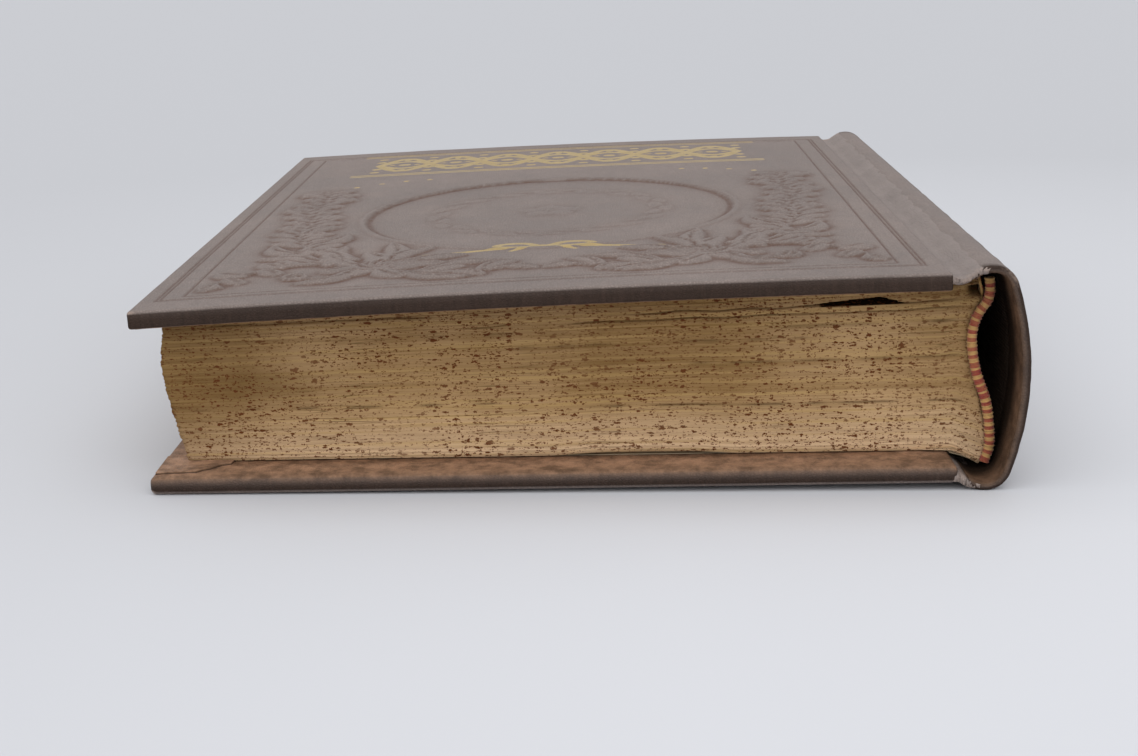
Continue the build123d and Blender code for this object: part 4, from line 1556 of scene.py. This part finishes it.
# --- stage ------------------------------------------------------------------------
def table_and_light():
    """Pale floor, soft studio light and the camera."""
    scene = bpy.context.scene
    bpy.ops.mesh.primitive_plane_add(size=30)
    floor = bpy.context.object
    floor.name = "floor"
    c = colours()

    def build(n):
        place = n.add("ShaderNodeTexCoord").outputs["Object"]
        # Painted light on the floor: darker with distance from a point in front of the book, and a
        # painted shadow that darkens it to the left.
        centred = n.add("ShaderNodeMapping", {"Vector": place})
        centred.inputs["Location"].default_value = (-0.10, 0.30, 0.0)
        reach = n.add("ShaderNodeVectorMath", {0: centred.outputs["Vector"]}, operation="LENGTH")
        far = n.span(reach.outputs["Value"], 0.15, 0.75)
        across = n.add("ShaderNodeSeparateXYZ", {"Vector": place}).outputs["X"]
        tone = n.mix(n.span(across, 0.02, -0.42, 0.0, 0.75), c.floor, [v * 0.72 for v in c.floor])
        return {"Base Color": n.mix(far, tone, [v * 0.78 for v in c.floor])}

    floor.data.materials.append(surface("pale_table", build, roughness=0.75, specular=0.2))
    world = bpy.data.worlds.new("studio")
    world.use_nodes = True
    world.node_tree.nodes["Background"].inputs["Color"].default_value = (0.93, 0.96, 1.0, 1)
    world.node_tree.nodes["Background"].inputs["Strength"].default_value = 0.74
    scene.world = world
    scene.view_settings.view_transform = "Standard"
    for name, place, spread, power in (("overhead", (-0.35, -0.55, 1.6), 100, 1.62),
                                       ("front_fill", (0.5, -1.5, 0.7), 80, 0.6)):
        light = bpy.data.lights.new(name, "SUN")
        light.angle = math.radians(spread)
        light.energy = power
        lamp = bpy.data.objects.new(name, light)
        lamp.location = place
        lamp.rotation_euler = lamp.location.to_track_quat("Z", "Y").to_euler()
        scene.collection.objects.link(lamp)
    data = bpy.data.cameras.new("camera")
    data.lens = 60.1
    data.sensor_width = 36.0
    data.clip_start = 0.01
    data.clip_end = 60.0
    camera = bpy.data.objects.new("camera", data)
    camera.location = (0.005077, -0.51821, 0.12253)
    camera.rotation_euler = [math.radians(v) for v in (76.172, 0.632, 0.878)]
    scene.collection.objects.link(camera)
    scene.camera = camera


# --- add-on -----------------------------------------------------------------------
class BOOK_OT_covers(bpy.types.Operator):
    """Make both leather covers with their boards, endpapers and turn-ins"""
    bl_idname = "book.covers"
    bl_label = "Covers"

    def execute(self, context):
        for side, pitch, rich in (("front", 0.62, True), ("back", 1.6, False)):
            cover_leather(side, pitch, pitch, rich)
            cover_inner_pieces(side)
            turn_in_mitres(side)
        return {"FINISHED"}


class BOOK_OT_leaves(bpy.types.Operator):
    """Make the block of leaves and the leaves that stand apart"""
    bl_idname = "book.leaves"
    bl_label = "Leaves"

    def execute(self, context):
        loose_leaves(leaf_block())
        return {"FINISHED"}


class BOOK_OT_spine(bpy.types.Operator):
    """Make the hollow leather spine and finish its card and the lining"""
    bl_idname = "book.spine"
    bl_label = "Spine"

    def execute(self, context):
        spine_skin()
        for node, material in (("spine_inlay", cloth_look("brown_card", (0.060, 0.040, 0.028))),
                               ("spine_lining", cloth_look("glued_mull", (0.34, 0.25, 0.15)))):
            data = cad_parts[node].data
            data.materials.clear()
            data.materials.append(material)
        return {"FINISHED"}


class BOOK_OT_joints(bpy.types.Operator):
    """Make the leather and paper that bend in both joints"""
    bl_idname = "book.joints"
    bl_label = "Joints"

    def execute(self, context):
        joint_skins()
        hinge_folds()
        return {"FINISHED"}


class BOOK_OT_bands(bpy.types.Operator):
    """Wind the striped end bands and lay their cloth"""
    bl_idname = "book.bands"
    bl_label = "End bands"

    def execute(self, context):
        shape = LeafShape()
        tail, head = shape.low[1], shape.high[1]
        half = sizes().bead / 2
        wound_bead("tail_bead", tail - half, "tail_band")
        wound_bead("head_bead", head + half, "head_band")
        band_skirt("tail_skirt", shape, tail + SKIRT_INSET, tail + SKIRT_END)
        band_skirt("head_skirt", shape, head - SKIRT_END, head - SKIRT_INSET)
        return {"FINISHED"}


class BOOK_OT_stage(bpy.types.Operator):
    """Set the table, the light and the camera"""
    bl_idname = "book.stage"
    bl_label = "Stage"

    def execute(self, context):
        table_and_light()
        return {"FINISHED"}


STEPS = (BOOK_OT_covers, BOOK_OT_leaves, BOOK_OT_spine, BOOK_OT_joints, BOOK_OT_bands,
         BOOK_OT_stage)


class BOOK_PT_parts(bpy.types.Panel):
    """Lists the steps that make the book"""
    bl_idname = "BOOK_PT_parts"
    bl_label = "Leather book"
    bl_space_type = "VIEW_3D"
    bl_region_type = "UI"
    bl_category = "Book"

    def draw(self, context):
        for step in STEPS:
            self.layout.operator(step.bl_idname)


CLASSES = (BookSizes, BookColours) + STEPS + (BOOK_PT_parts,)


def register():
    for item in CLASSES:
        bpy.utils.register_class(item)
    bpy.types.Scene.book_sizes = bpy.props.PointerProperty(type=BookSizes)
    bpy.types.Scene.book_colours = bpy.props.PointerProperty(type=BookColours)


def unregister():
    del bpy.types.Scene.book_colours
    del bpy.types.Scene.book_sizes
    for item in reversed(CLASSES):
        bpy.utils.unregister_class(item)


def main():
    register()
    bpy.ops.book.covers()
    bpy.ops.book.leaves()
    bpy.ops.book.spine()
    bpy.ops.book.joints()
    bpy.ops.book.bands()
    bpy.ops.book.stage()


if __name__ == "__main__":
    main()
